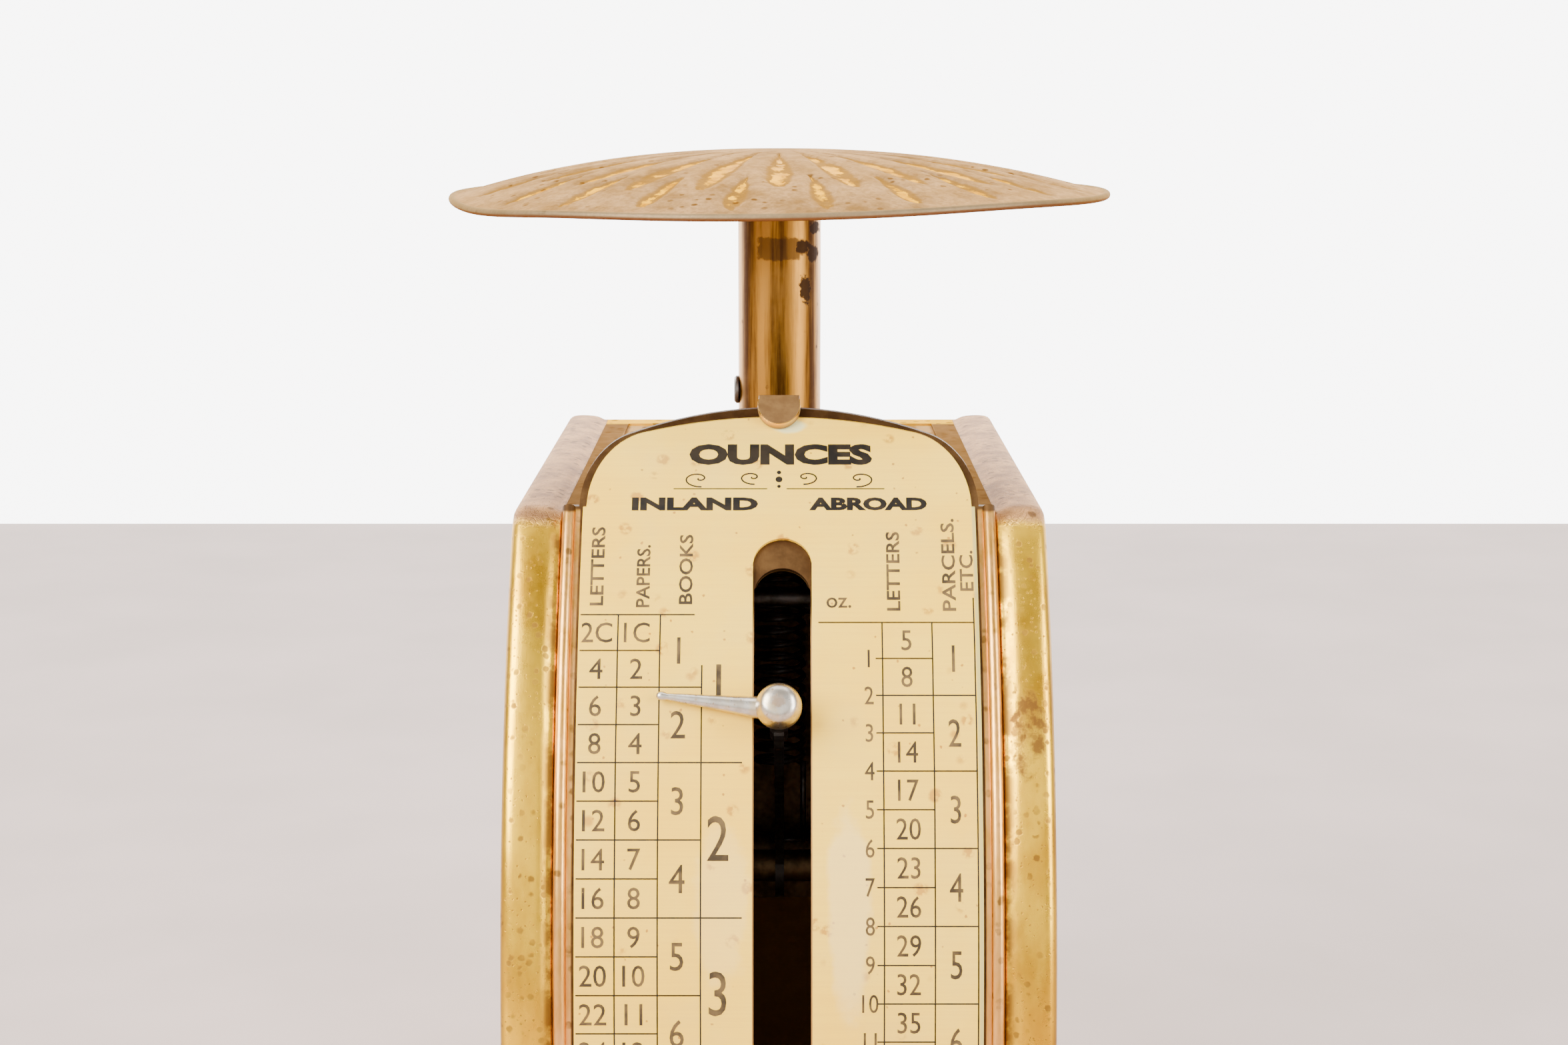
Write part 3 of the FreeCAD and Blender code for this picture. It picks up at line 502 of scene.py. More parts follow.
def holder_brass():
    """Dirty brown sheet behind the dial; its rolled edges are rubbed to pinkish copper."""
    material, tree, shader, place = new_material("dial holder brass")
    apart = axes(tree, place)
    across = sums(tree, "ABSOLUTE", apart[0])
    roll = both(tree, rise(tree, across, ROLL_EDGE, ROLL_EDGE + 0.2),
                fall(tree, apart[2], HOLDER_RIM, HOLDER_RIM + 0.4))
    dirty = metal_mix(tree, place, (0.13, 0.068, 0.025), (0.07, 0.034, 0.013), 0.25)
    slot_edge = both(tree, fall(tree, across, 3.9, 4.2), fall(tree, apart[2], 88.0, 92.0))
    dirty = tint(tree, dirty, (0.70, 0.42, 0.16), slot_edge, 0.8)
    copper = metal_mix(tree, stretched(tree, place, (1, 1, 0.2)), (0.86, 0.44, 0.12), (0.66, 0.32, 0.05), 0.5)
    marks = patchy_specks(tree, place, (0.8, 0.45, 0.4), (0.2, 0.5, 0.1))
    copper = tint(tree, copper, BROWN, marks, 0.7)
    colour = blend_colour(tree, roll, dirty, copper)
    # Painted shade on the part of the holder hidden behind the dial.
    radius = from_fulcrum(tree, place)
    hidden = both(tree, fall(tree, radius, 99.95, 100.2), fall(tree, apart[2], 101.5, 102))
    colour = blend_colour(tree, hidden, colour, INSIDE_SHADE)
    rough = rise(tree, roll, 0.0, 1.0, 0.5, 0.24)
    rough = uneven(tree, place, rough, 0.15, 1.0, 4.0)
    set_metal(tree, shader, colour, rough)
    bumped(tree, shader, scuffs(tree, place, (3.0, 0.6, 0.6), 0.02))
    return material


def celluloid():
    """Cream sheet with fine level grain, orange foxing, a lifted pale patch and a clear margin."""
    material, tree, shader, place = new_material("cream celluloid")
    apart = axes(tree, place)
    cream = blend_colour(tree, rise(tree, noise(tree, place, 0.07, 3.0), 0.35, 0.65),
                         (1.0, 0.60, 0.030), (1.0, 0.64, 0.055))
    grain = noise(tree, stretched(tree, place, (0.05, 2.4, 3.2)), 1.0, 3.0, 0.65, 1.0)
    lines = rise(tree, grain, 0.42, 0.60)
    colour = tint(tree, cream, (0.86, 0.47, 0.05), lines, 0.22)
    foxing = patchy_specks(tree, place, (0.26, 0.26, 0.7), (1.1, 0.48, 0.07, 9.0))
    colour = tint(tree, colour, (0.55, 0.24, 0.02), foxing, 0.85)
    freckle = specks(tree, place, 0.8, 0.17, 0.2)
    colour = tint(tree, colour, (0.40, 0.14, 0.02), freckle, 0.8)
    lifted = stain(tree, place, (8.0, -52.0, 59.0), (2.6, 20.0, 12.0), 1.2, 0.2)
    upper = stain(tree, place, (-6.6, -52.0, 60.0), (3.2, 20.0, 10.0), 1.0, 0.3)
    crescent = stain(tree, place, (1.2, -32.5, 110.6), (2.5, 20.0, 0.9), 0.3, 0.6)
    pale = layered(tree, (lifted, 0.45), (upper, 0.25))
    colour = blend_colour(tree, pale, colour, (0.96, 0.70, 0.30))
    colour = tint(tree, colour, (0.72, 0.74, 0.42), crescent, 0.8)
    margin = rise(tree, apart[0], TABLE_EDGE, TABLE_EDGE + 0.25)
    colour = tint(tree, colour, (0.42, 0.40, 0.16), margin, 0.75)
    green = blotches(tree, place, 0.07, 0.56, 0.12, 11.0)
    colour = tint(tree, colour, (0.70, 0.56, 0.20), green, 0.18)
    rough = uneven(tree, place, 0.24, 0.14, 0.5, 4.0)
    set_shader(tree, shader, Base_Color=colour, Roughness=rough, Specular_IOR_Level=0.3, Coat_Weight=0.06,
               Coat_Roughness=0.15, IOR=1.5)
    ripple = times(tree, noise(tree, place, 0.25, 2.0), 0.10)
    edge = times(tree, lifted, 0.05)
    fine = times(tree, grain, 0.010)
    bumped(tree, shader, plus(tree, plus(tree, ripple, edge), fine))
    return material


def printing(name, dark, faded, wear):
    """Printed ink, rubbed through in places to the cream below."""
    material, tree, shader, place = new_material(name)
    colour = blend_colour(tree, rise(tree, noise(tree, place, 0.35, 4.0), 0.4, 0.62), dark, faded)
    rubbed = blotches(tree, place, 1.1, wear, 0.07, 5.0)
    colour = blend_colour(tree, rubbed, colour, (0.84, 0.48, 0.13))
    rough = uneven(tree, place, 0.5, 0.2, 1.0, 2.0)
    set_shader(tree, shader, Base_Color=colour, Roughness=rough, Specular_IOR_Level=0.2)
    bumped(tree, shader, times(tree, noise(tree, place, 5.0, 2.0), 0.004))
    return material


# Across, behind the front of the tube, above the stain, half width, half height, raggedness and its scale.
TUBE_SPOTS = ((3.1, 4.5, 0.2, 1.1, 1.0, 1.6, 1.3), (4.4, 3.3, -0.8, 0.8, 1.2, 1.6, 1.3),
              (3.4, 4.4, -5.2, 0.8, 1.9, 2.2, 1.5), (4.6, 3.0, 2.6, 0.8, 0.9, 1.8, 1.4))


def tube_brass():
    """Reddish brown lacquered tube with drawn streaks, painted reflection bands, a square stain and black
    specks.
    """
    material, tree, shader, place = new_material("brown tube brass")
    streak = noise(tree, stretched(tree, place, (1.1, 1.1, 0.06)), 0.9, 4.0, 0.6)
    apart = axes(tree, place)
    turn = sums(tree, "ARCTAN2", apart[0], sums(tree, "SUBTRACT", LOAD.y / MM, apart[1]))
    # Painted reflection: light and dark upright bands by the angle round the tube, seven to a turn.
    reflection_bands = sums(tree, "COSINE", times(tree, turn, 7.0))
    tone = plus(tree, streak, times(tree, reflection_bands, 0.16))
    colour = blend_colour(tree, rise(tree, tone, 0.36, 0.72), (0.46, 0.215, 0.032), (0.10, 0.038, 0.007))
    cloud = blotches(tree, place, 0.14, 0.52, 0.12, 2.0)
    colour = tint(tree, colour, (0.42, 0.22, 0.05), cloud, 0.25)
    front, level = LOAD.y / MM, CASE_TOP / MM + 28.0
    ragged = times(tree, sums(tree, "SUBTRACT", noise(tree, place, 1.6, 4.0), 0.5), 1.2)
    wide = plus(tree, sums(tree, "ABSOLUTE", sums(tree, "SUBTRACT", apart[0], -0.1)), ragged)
    tall = plus(tree, sums(tree, "ABSOLUTE", sums(tree, "SUBTRACT", apart[2], level)), ragged)
    ahead = fall(tree, apart[1], front - 1.0, front)
    band = both(tree, fall(tree, wide, 2.5, 2.9), fall(tree, tall, 1.3, 1.6), ahead)
    spots = either(tree, *[stain(tree, place, (x, front - back, level + up), (wide, 3.0, tall), *ragged)
                           for x, back, up, wide, tall, *ragged in TUBE_SPOTS])
    drips = patchy_specks(tree, place, (0.6, 0.2, 0.2), (0.2, 0.5, 0.1))
    dirt = layered(tree, (band, 0.6), (spots, 0.95), (drips, 0.6))
    colour = blend_colour(tree, dirt, colour, (0.05, 0.026, 0.014))
    rough = plus(tree, 0.3, times(tree, streak, 0.14))
    rough = plus(tree, rough, times(tree, dirt, 0.3))
    set_metal(tree, shader, colour, rough)
    bumped(tree, shader, scuffs(tree, place, (4.0, 4.0, 0.2), 0.016))
    return material


def pan_brass():
    """Brown patina on what stands proud; thin broken strokes of gold in the pressed petals, edged with
    painted shadow.
    """
    material, tree, shader, place = new_material("pan brass")
    hollow = put(tree, "Attribute", attribute_name="hollow").outputs["Fac"]
    under = put(tree, "Attribute", attribute_name="underside").outputs["Fac"]
    patina = metal_mix(tree, place, (0.44, 0.275, 0.13), (0.25, 0.145, 0.062), 0.16)
    haze = blotches(tree, place, 0.4, 0.5, 0.15, 3.0)
    patina = tint(tree, patina, (0.50, 0.325, 0.17), haze, 0.4)
    dusty = blotches(tree, place, 1.6, 0.5, 0.12, 4.0)
    patina = tint(tree, patina, (0.17, 0.10, 0.045), dusty, 0.4)
    gold = metal_mix(tree, place, (0.72, 0.39, 0.012), (0.40, 0.19, 0.008), 0.4, 1.0)
    broken = times(tree, hollow, noise(tree, place, 0.3, 5.0, 0.65, 2.0))
    bright = rise(tree, broken, 0.43, 0.51)
    # Painted shadow: a darker edge round each gold stroke.
    stroke_shadow = rise(tree, broken, 0.16, 0.36)
    colour = tint(tree, patina, (0.24, 0.125, 0.03), stroke_shadow, 0.75)
    colour = blend_colour(tree, bright, colour, gold)
    marks = patchy_specks(tree, place, (0.6, 0.3, 0.4), (0.1, 0.48, 0.1))
    colour = tint(tree, colour, BROWN, marks, 0.8)
    radius = length(tree, stretched(tree, moved(tree, place, (0.0, LOAD.y / MM, 0.0)), (1, 1, 0)))
    rim = rise(tree, radius, PAN_RADIUS / MM - 1.1, PAN_RADIUS / MM - 0.6)
    colour = tint(tree, colour, (0.24, 0.18, 0.10), rim, 0.7)
    colour = tint(tree, colour, (0.20, 0.085, 0.035), under, 0.9)
    rough = rise(tree, bright, 0.0, 1.0, 0.52, 0.25)
    rough = uneven(tree, place, rough, 0.16, 0.8, 4.0)
    set_metal(tree, shader, colour, rough, Specular_Tint=WARM_EDGE)
    grit = times(tree, noise(tree, place, 2.5, 4.0, 0.7), 0.05)
    scratch = scuffs(tree, place, (0.5, 3.0, 0.5), 0.02)
    bumped(tree, shader, plus(tree, grit, scratch))
    return material


def tab_brass():
    """Satin brown face; the bevel below it is partly rubbed brass and partly a painted highlight, coloured
    bright.
    """
    material, tree, shader, place = new_material("tab brass")
    bare_and_lit = put(tree, "Attribute", attribute_name="bevel").outputs["Fac"]
    face = metal_mix(tree, place, (0.26, 0.145, 0.05), (0.19, 0.10, 0.034), 0.5)
    # Painted highlight, partly real wear: the bevel is coloured bright gold.
    colour = blend_colour(tree, bare_and_lit, face, (0.90, 0.54, 0.11))
    rough = uneven(tree, place, rise(tree, bare_and_lit, 0.0, 1.0, 0.45, 0.2), 0.12, 1.5, 4.0)
    metallic = rise(tree, bare_and_lit, 0.0, 1.0, 0.45, 1.0)
    set_shader(tree, shader, Base_Color=colour, Roughness=rough, Metallic=metallic)
    bumped(tree, shader, scuffs(tree, place, (5.0, 0.6, 0.6), 0.003))
    return material


def nickel():
    """Old nickel plate: bright, with brown pin holes and a yellow cast where it wears thin."""
    material, tree, shader, place = new_material("worn nickel")
    colour = metal_mix(tree, place, (0.66, 0.61, 0.53), (0.46, 0.40, 0.32), 0.7)
    thin = blotches(tree, place, 0.45, 0.53, 0.08, 6.0)
    colour = tint(tree, colour, (0.66, 0.48, 0.20), thin, 0.45)
    pits = specks(tree, place, 1.6, 0.26, 0.3)
    centre = lever_frame(106.2 * MM).translation / MM
    rust = stain(tree, place, tuple(centre), (1.0, 1.0, 1.0), 1.2, 1.6)
    dirt = layered(tree, (pits, 0.7), (rust, 0.7))
    colour = blend_colour(tree, dirt, colour, (0.28, 0.17, 0.09))
    rough = uneven(tree, place, 0.2, 0.2, 1.4, 4.0)
    rough = plus(tree, rough, times(tree, dirt, 0.25))
    set_metal(tree, shader, colour, rough)
    bumped(tree, shader, scuffs(tree, place, (4.0, 4.0, 4.0), 0.008))
    return material


def dull_metal(name, light, dark, rough_low):
    """Plain working metal of the mechanism, oiled and dusty."""
    material, tree, shader, place = new_material(name)
    colour = metal_mix(tree, place, light, dark, 0.3, 2.0)
    rust = patchy_specks(tree, place, (0.9, 0.4, 0.3), (0.3, 0.5, 0.1))
    colour = tint(tree, colour, (0.20, 0.10, 0.05), rust, 0.7)
    rough = uneven(tree, place, rough_low, 0.25, 0.8, 4.0)
    set_metal(tree, shader, colour, rough)
    bumped(tree, shader, scuffs(tree, place, (0.6, 3.0, 3.0), 0.02))
    return material


# ---- drawn sides

KNEE, CORNER = 5.5 * MM, 1.8 * MM
# Inward from the cheek and in from the outline, in mm: over the crown and back behind it.
SIDE_SECTION = [
    (0.0, 2.6), (0.0, 1.6), (0.10, 1.0), (0.30, 0.58), (0.62, 0.28), (1.05, 0.10), (1.6, 0.02),
    (2.3, 0.0), (3.1, 0.02), (3.9, 0.09), (4.5, 0.22), (4.9, 0.38), (5.2, 0.55), (5.5, 0.66), (5.75, 0.68),
    (5.92, 0.76), (5.97, 0.95), (5.9, 1.2), (5.6, 1.3), (3.0, 1.4), (1.5, 1.45), (1.05, 1.7), (0.85, 2.2),
    (0.8, 3.0),
]


def side_outline(depth):
    """Places round the edge of a drawn side, set in by a depth; each depth has as many."""
    radius = FRONT_RADIUS - depth
    low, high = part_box("side_pan_right")[0].z + depth - FULCRUM.z, CASE_TOP - depth - FULCRUM.z
    back = CASE_BACK - depth - FULCRUM.y
    knee, corner = (max(bend - depth, 0.08 * MM) for bend in (KNEE, CORNER))
    knee_at = (-sqrt((radius - knee) ** 2 - (high - knee) ** 2), high - knee)
    foot_at = (-sqrt((radius - corner) ** 2 - (low + corner) ** 2), low + corner)
    front_high = atan2(knee_at[1], knee_at[0])
    front_low = atan2(foot_at[1], foot_at[0]) % tau
    quarter = pi / 2
    sweeps = ((knee_at, knee, quarter, front_high, 10, 0), ((0, 0), radius, front_high, front_low, 64, 1),
              (foot_at, corner, front_low, 3 * quarter, 6, 1),
              ((back - corner, low + corner), corner, 3 * quarter, tau, 6, 0),
              ((back - corner, high - corner), corner, tau, tau + quarter, 6, 0))
    places = []
    for (y, z), bend, start, end, count, skipped in sweeps:
        for number in range(skipped, count):
            angle = start + (end - start) * number / (count - 1)
            places.append((FULCRUM.y + y + bend * cos(angle), FULCRUM.z + z + bend * sin(angle)))
    return places


def make_sides(brass):
    """Each side is one drawn sheet: a flat cheek whose crowned rim is turned in all round."""
    for name, side in (("left", -1), ("right", 1)):
        mesh = bmesh.new()
        rings = []
        for inward, depth in SIDE_SECTION:
            x = side * (CASE_HALF - inward * MM)
            ring = [mesh.verts.new((x, y, z)) for y, z in side_outline(depth * MM)]
            rings.append([mesh.edges.new(pair) for pair in zip(ring, ring[1:] + ring[:1])])
        for outer, inner in zip(rings, rings[1:]):
            bmesh.ops.bridge_loops(mesh, edges=outer + inner)
        bmesh.ops.holes_fill(mesh, edges=rings[0] + rings[-1])
        finish(mesh, f"drawn_side_{name}", brass, replaces=(f"side_pan_{name}",))


# ---- curved dial: printing

INK_LOW, INK_HIGH = 0.006 * MM, 0.020 * MM
ROW_ZERO, ROW_STEP = 32.5, 2.49
ROWS = 16
CUTS = 60               # level cuts that let the flat print follow the curve
HAIR = 0.15 * MM
DIAL_EDGE = 23.1        # the left table's rules run out to the edge of the sheet
TABLE_EDGE = 22.75      # the right table's stop at the clear margin
LEFT_SHIFT, RIGHT_SHIFT = -0.08, 0.14       # the two tables are printed a little out of line, in rows
LEFT_COLUMNS, RIGHT_COLUMNS = (-18.7, -13.8, -8.9), (12.0, 17.8, 22.7)      # upright rules, in mm


def row(number):
    """How far up the curve a row's rule is, from level with the fulcrum."""
    return radians(ROW_ZERO - ROW_STEP * number) * DIAL_RADIUS


def bend_to_dial(mesh):
    """Wrap a flat layout round the dial: x stays, y runs up the curve, z is the ink's depth."""
    for vert in mesh.verts:
        angle = vert.co.y / DIAL_RADIUS
        reach = DIAL_RADIUS + INK_LOW + vert.co.z * (INK_HIGH - INK_LOW)
        vert.co = Vector((vert.co.x, FULCRUM.y - reach * cos(angle),
                          FULCRUM.z + reach * sin(angle)))


def bar(mesh, left, right, low, high):
    """A straight rule between two corners."""
    middle = at(((left + right) / 2, (low + high) / 2, 0.5))
    size = Matrix.Diagonal((right - left, high - low, 1.0, 1.0))
    bmesh.ops.create_cube(mesh, size=1.0, matrix=middle @ size)


def level_rule(mesh, left, right, number):
    height = row(number)
    bar(mesh, left * MM, right * MM, height - HAIR / 2, height + HAIR / 2)


def upright_rule(mesh, x, high_row, low_row):
    bar(mesh, x * MM - HAIR / 2, x * MM + HAIR / 2, row(low_row), row(high_row))


def letter_shapes(words, weight):
    """Plain lettering as a mesh, one unit deep, centred on its own origin."""
    curve = bpy.data.curves.new("lettering", "FONT")
    curve.body = words
    curve.resolution_u = 3
    curve.extrude = 0.5
    curve.offset = weight
    text = bpy.data.objects.new("lettering", curve)
    data = bpy.data.meshes.new_from_object(text)
    corners = [vert.co for vert in data.vertices]
    low = Vector([min(corner[axis] for corner in corners) for axis in range(3)])
    high = Vector([max(corner[axis] for corner in corners) for axis in range(3)])
    bpy.data.objects.remove(text)
    bpy.data.curves.remove(curve)
    return data, low, high


def letter(mesh, words, x, height_row, size, narrow=0.82, upright=False, weight=0.0, spread=None):
    """Set words centred at x millimetres and at a row; size is the height in millimetres."""
    data, low, high = letter_shapes(words, weight)
    scale = size * MM / (high.y - low.y)
    across = spread * MM / (high.x - low.x) if spread else scale * narrow
    middle = (low + high) / 2
    fit = Matrix.Diagonal((across, scale, 1.0, 1.0)) @ at((-middle.x, -middle.y, 0.5))
    if upright:
        fit = QUARTER["Z"] @ fit
    data.transform(at((x * MM, row(height_row), 0)) @ fit)
    mesh.from_mesh(data)
    bpy.data.meshes.remove(data)


def curl(mesh, start, turns, size, mirror):
    """One scroll of the flourish: a fine line that winds in on itself."""
    curve = bpy.data.curves.new("scroll", "CURVE")
    curve.dimensions = "3D"
    curve.bevel_depth = 0.09 * MM
    curve.bevel_resolution = 1
    curve.use_fill_caps = True
    line = curve.splines.new("POLY")
    points = 28
    line.points.add(points - 1)
    for number, point in enumerate(line.points):
        share = number / (points - 1)
        angle = turns * tau * share - radians(100)
        reach = size * (1.0 - share) ** 1.3
        point.co = (mirror * (start[0] + reach * cos(angle)) * MM,
                    (start[1] + 0.6 * reach * sin(angle)) * MM, 0, 1)
    scroll = bpy.data.objects.new("scroll", curve)
    data = bpy.data.meshes.new_from_object(scroll)
    data.transform(at((0, 0, 0.5)) @ Matrix.Diagonal((1, 1, 0.4 / (0.09 * MM), 1)))
    mesh.from_mesh(data)
    bpy.data.meshes.remove(data)
    bpy.data.objects.remove(scroll)
    bpy.data.curves.remove(curve)


def rule_tables(mesh):
    """The hair lines of the two rate tables."""
    level_rule(mesh, -DIAL_EDGE, -9.8, LEFT_SHIFT)
    level_rule(mesh, 4.6, TABLE_EDGE, RIGHT_SHIFT)
    for number in range(1, ROWS + 1):
        inner = LEFT_COLUMNS[2] if number % 2 == 0 else LEFT_COLUMNS[1]
        inner = -4.2 if number % 4 == 0 else inner
        level_rule(mesh, -DIAL_EDGE, inner, number + LEFT_SHIFT)
        outer = TABLE_EDGE if number % 2 == 0 else RIGHT_COLUMNS[1]
        level_rule(mesh, 11.2, outer, number + RIGHT_SHIFT)
    for x, first in zip(LEFT_COLUMNS, (0, 0, 1.4)):
        upright_rule(mesh, x, first + LEFT_SHIFT, ROWS + 0.6)
    for x, first in zip(RIGHT_COLUMNS, (0, 0, -0.7)):
        upright_rule(mesh, x, first + RIGHT_SHIFT, ROWS + 0.6)


def number_tables(mesh):
    """The figures: rates that rise by the ounce, beside the ounces themselves."""
    for number in range(1, ROWS + 1):
        left, right = number - 0.5 + LEFT_SHIFT, number - 0.5 + RIGHT_SHIFT
        unit, wide, narrow = ("C", 3.6, 3.0) if number == 1 else ("", None, None)
        letter(mesh, f"{2 * number}{unit}", -21.15, left, 2.45, 0.94, spread=wide)
        letter(mesh, f"{number}{unit}", -16.5, left, 2.45, 0.94, spread=narrow)
        letter(mesh, f"{number}", 10.4, number + RIGHT_SHIFT, 2.1, 0.8)
        letter(mesh, f"{3 * number + 2}", 14.8, right, 2.45, 0.85)
    for number in range(1, ROWS // 2 + 1):
        letter(mesh, f"{number}", -11.6, 2 * number - 1.0 + LEFT_SHIFT, 3.2, 0.84)
        letter(mesh, f"{number}", 20.2, 2 * number - 1 + RIGHT_SHIFT, 3.2, 0.72)
    for number in range(1, ROWS // 4 + 1):
        letter(mesh, f"{number}", -6.95, 4 * number - 2.04 + LEFT_SHIFT, 5.1, 0.76)


def headings(mesh):
    """Plain words over the columns, read upwards."""
    for words, x, middle, length in (("LETTERS", -21.3, -1.5, 10.2), ("PAPERS.", -15.9, -1.2, 8.0),
                                     ("BOOKS", -10.9, -1.4, 9.0), ("LETTERS", 13.4, -1.35, 10.2),
                                     ("PARCELS.", 19.9, -1.55, 12.0), ("ETC.", 22.0, -1.35, 5.2)):
        letter(mesh, words, x, middle, 1.6, spread=length, upright=True, weight=0.015)
    letter(mesh, "oz.", 7.0, -0.42, 1.3, 0.95, weight=0.004)


def banner(mesh):
    """Two plain words over the tables, the unit above them and a small scroll between."""
    letter(mesh, "OUNCES", 0.2, -5.0, 3.1, 1.0, weight=0.055, spread=22.0)
    letter(mesh, "INLAND", -10.0, -3.38, 1.8, 1.0, weight=0.05, spread=15.0)
    letter(mesh, "ABROAD", 10.6, -3.38, 1.8, 1.0, weight=0.05, spread=14.0)
    level = row(-4.1) / MM
    for side in (-1, 1):
        curl(mesh, (9.6, level + 0.4), 1.35, 2.0, side)
        curl(mesh, (3.2, level + 0.6), 1.35, 1.7, side)
    bar(mesh, -12.6 * MM, -1.4 * MM, (level - 1.1) * MM, (level - 0.98) * MM)
    bar(mesh, 0.9 * MM, 12.6 * MM, (level - 1.1) * MM, (level - 0.98) * MM)
    for height, size in ((1.3, 0.26), (0.3, 0.42), (-0.7, 0.22)):
        rod(mesh, 16, size * MM, 1.0, at((0, (level + height) * MM, 0.5)))


def print_dial():
    faded = printing("faded print", (0.045, 0.030, 0.014), (0.14, 0.088, 0.034), 0.74)
    firm = printing("firm print", (0.008, 0.006, 0.004), (0.022, 0.015, 0.008), 0.80)
    for name, ink, makers in (("dial_rules", firm, (rule_tables,)),
                              ("dial_numbers", faded, (number_tables, headings)),
                              ("dial_banner", firm, (banner,))):
        mesh = bmesh.new()
        for maker in makers:
            maker(mesh)
        bmesh.ops.remove_doubles(mesh, verts=mesh.verts, dist=1e-7)
        for number in range(CUTS):
            height = row(ROWS + 1) + (row(-7) - row(ROWS + 1)) * number / CUTS
            cut(mesh, height)
        bend_to_dial(mesh)
        finish(mesh, name, ink, smooth=False)


# ---- retaining tab

TAB_RADIUS = 101.45 * MM
TAB_ANGLE = 48.9


def make_tab():
    """A stamped half-round hook over the top of the dial, its lower edge bevelled."""
    wide, drop, sheet = 2.6 * MM, 3.2 * MM, 0.9 * MM
    level = 0.2 * drop
    mesh = bmesh.new()
    bmesh.ops.create_circle(mesh, cap_ends=True, segments=64, radius=1.0)
    cut(mesh, 0.25, clear=True)
    fill_holes(mesh)
    mesh.transform(QUARTER["X"] @ Matrix.Diagonal((wide, drop, 1, 1)))
    grown = bmesh.ops.extrude_face_region(mesh, geom=list(mesh.faces), use_keep_orig=True)
    front = [item for item in grown["geom"] if isinstance(item, bmesh.types.BMVert)]
    bmesh.ops.translate(mesh, verts=front, vec=(0, -sheet, 0))
    lower = [edge for edge in mesh.edges
             if all(vert.co.y < -sheet / 2 and vert.co.z < level for vert in edge.verts)]
    bevel(mesh, lower, 0.5 * MM)
    bmesh.ops.recalc_face_normals(mesh, faces=mesh.faces)
    ahead = [face for face in mesh.faces if face.calc_center_median().y < -0.9 * sheet]
    front = max(ahead, key=lambda face: face.calc_area())
    bmesh.ops.inset_region(mesh, faces=[front], thickness=0.12 * MM, use_boundary=True, use_even_offset=True)
    # Flag for the bevel faces, which the tab's finish colours bright: partly rubbed brass, partly a painted
    # highlight.
    rubbed = mesh.verts.layers.float.new("bevel")
    for vert in mesh.verts:
        vert[rubbed] = 1.0 if any(-0.97 < face.normal.y < -0.1 for face in vert.link_faces) else 0.0
    side = wide * 0.96
    for low, high in (((-side, -sheet, level), (side, 2.0 * MM + sheet, level + sheet)),
                      ((-side, 1.7 * MM, -3.0 * MM), (side, 1.7 * MM + 0.8 * MM, 0.5 * drop))):
        low, high = Vector(low), Vector(high)
        made = bmesh.ops.create_cube(mesh, size=1.0, matrix=at((low + high) / 2)
                                     @ Matrix.Diagonal((*(high - low), 1.0)))
        edges = {edge for vert in made["verts"] for edge in vert.link_edges}
        bevel(mesh, edges, 0.15 * MM)
    mesh.transform(lever_frame(TAB_RADIUS, TAB_ANGLE))
    finish(mesh, "dial_tab", tab_brass(), smooth=False, replaces=("retaining_tab",))


# ---- pointer

def make_pointer(plate):
    """Domed button on the stud, and the tapered hand with a ball at its tip."""
    head = bmesh.new()
    # Radius, and distance from the fulcrum, in mm.
    profile = [(0.0, 106.80), (0.8, 106.77), (1.4, 106.68), (1.8, 106.50), (2.08, 106.25), (2.25, 105.95),
               (2.38, 105.5), (2.55, 104.9), (2.66, 104.3), (2.66, 103.8), (2.5, 103.4), (2.15, 103.15),
               (1.15, 103.0), (0.0, 103.0)]
    spun(head, [(radius * MM, (reach - 103.0) * MM) for radius, reach in profile], 64, "Y")
    head.transform(lever_frame(103.0 * MM))
    finish(head, "pointer_button", plate, "lever", replaces=("pointer_head",))

    needle = bmesh.new()
    profile = [(0.0, -0.3), (1.2, -0.3), (1.42, 0.2), (1.42, 1.4), (1.28, 2.6), (1.02, 5.2), (0.76, 8.4),
               (0.52, 11.6), (0.40, 12.7), (0.38, 12.95), (0.47, 13.2), (0.53, 13.55), (0.46, 13.9),
               (0.26, 14.15), (0.0, 14.22)]
    spun(needle, [(radius * MM, reach * MM) for radius, reach in profile], 32, "X")
    needle.transform(Matrix.Diagonal((-1, 0.8, 1, 1)))
    collar = rod(needle, 40, 1.95 * MM, 1.9 * MM, QUARTER["X"])
    rims = {edge for vert in collar["verts"] for edge in vert.link_edges if edge.calc_face_angle(0) > 1.0}
    bevel(needle, rims, 0.3 * MM, 3)
    needle.transform(Matrix.Rotation(radians(7.0), 4, "Y"))
    needle.transform(lever_frame(102.1 * MM))
    finish(needle, "pointer_hand", plate, "lever", replaces=("pointer_needle",))


# ---- pan

PETALS = 22
PETAL_DEPTH = 0.40 * MM
DOME = 2.3
PETAL_RANDOM = random.Random(7)
PETAL_ENDS = [[PETAL_RANDOM.uniform(*limits) for limits in ((0.10, 0.24), (0.72, 0.84), (0.5, 1.0))]
              for number in range(PETALS)]


def petal(radius, angle):
    """How deep the pressed pattern is, 0 to 1: long petals with short ones between their ends."""
    share = angle / tau * PETALS
    strength = 0.0
    base, tip, pressed = PETAL_ENDS[int(share % PETALS)]
    for shift, start, end, wide in ((0.0, base, tip, 0.20 + 0.12 * pressed), (0.5, 0.62, 0.93, 0.18)):
        along = (radius - start) / (end - start)
        if 0.0 < along < 1.0:
            off = abs((share + shift) % 1.0 - 0.5)
            half = wide * sin(pi * along ** 1.6) ** 0.6
            if off < half:
                strength = max(strength, (1.0 - (off / half) ** 2) ** 0.8)
    return strength


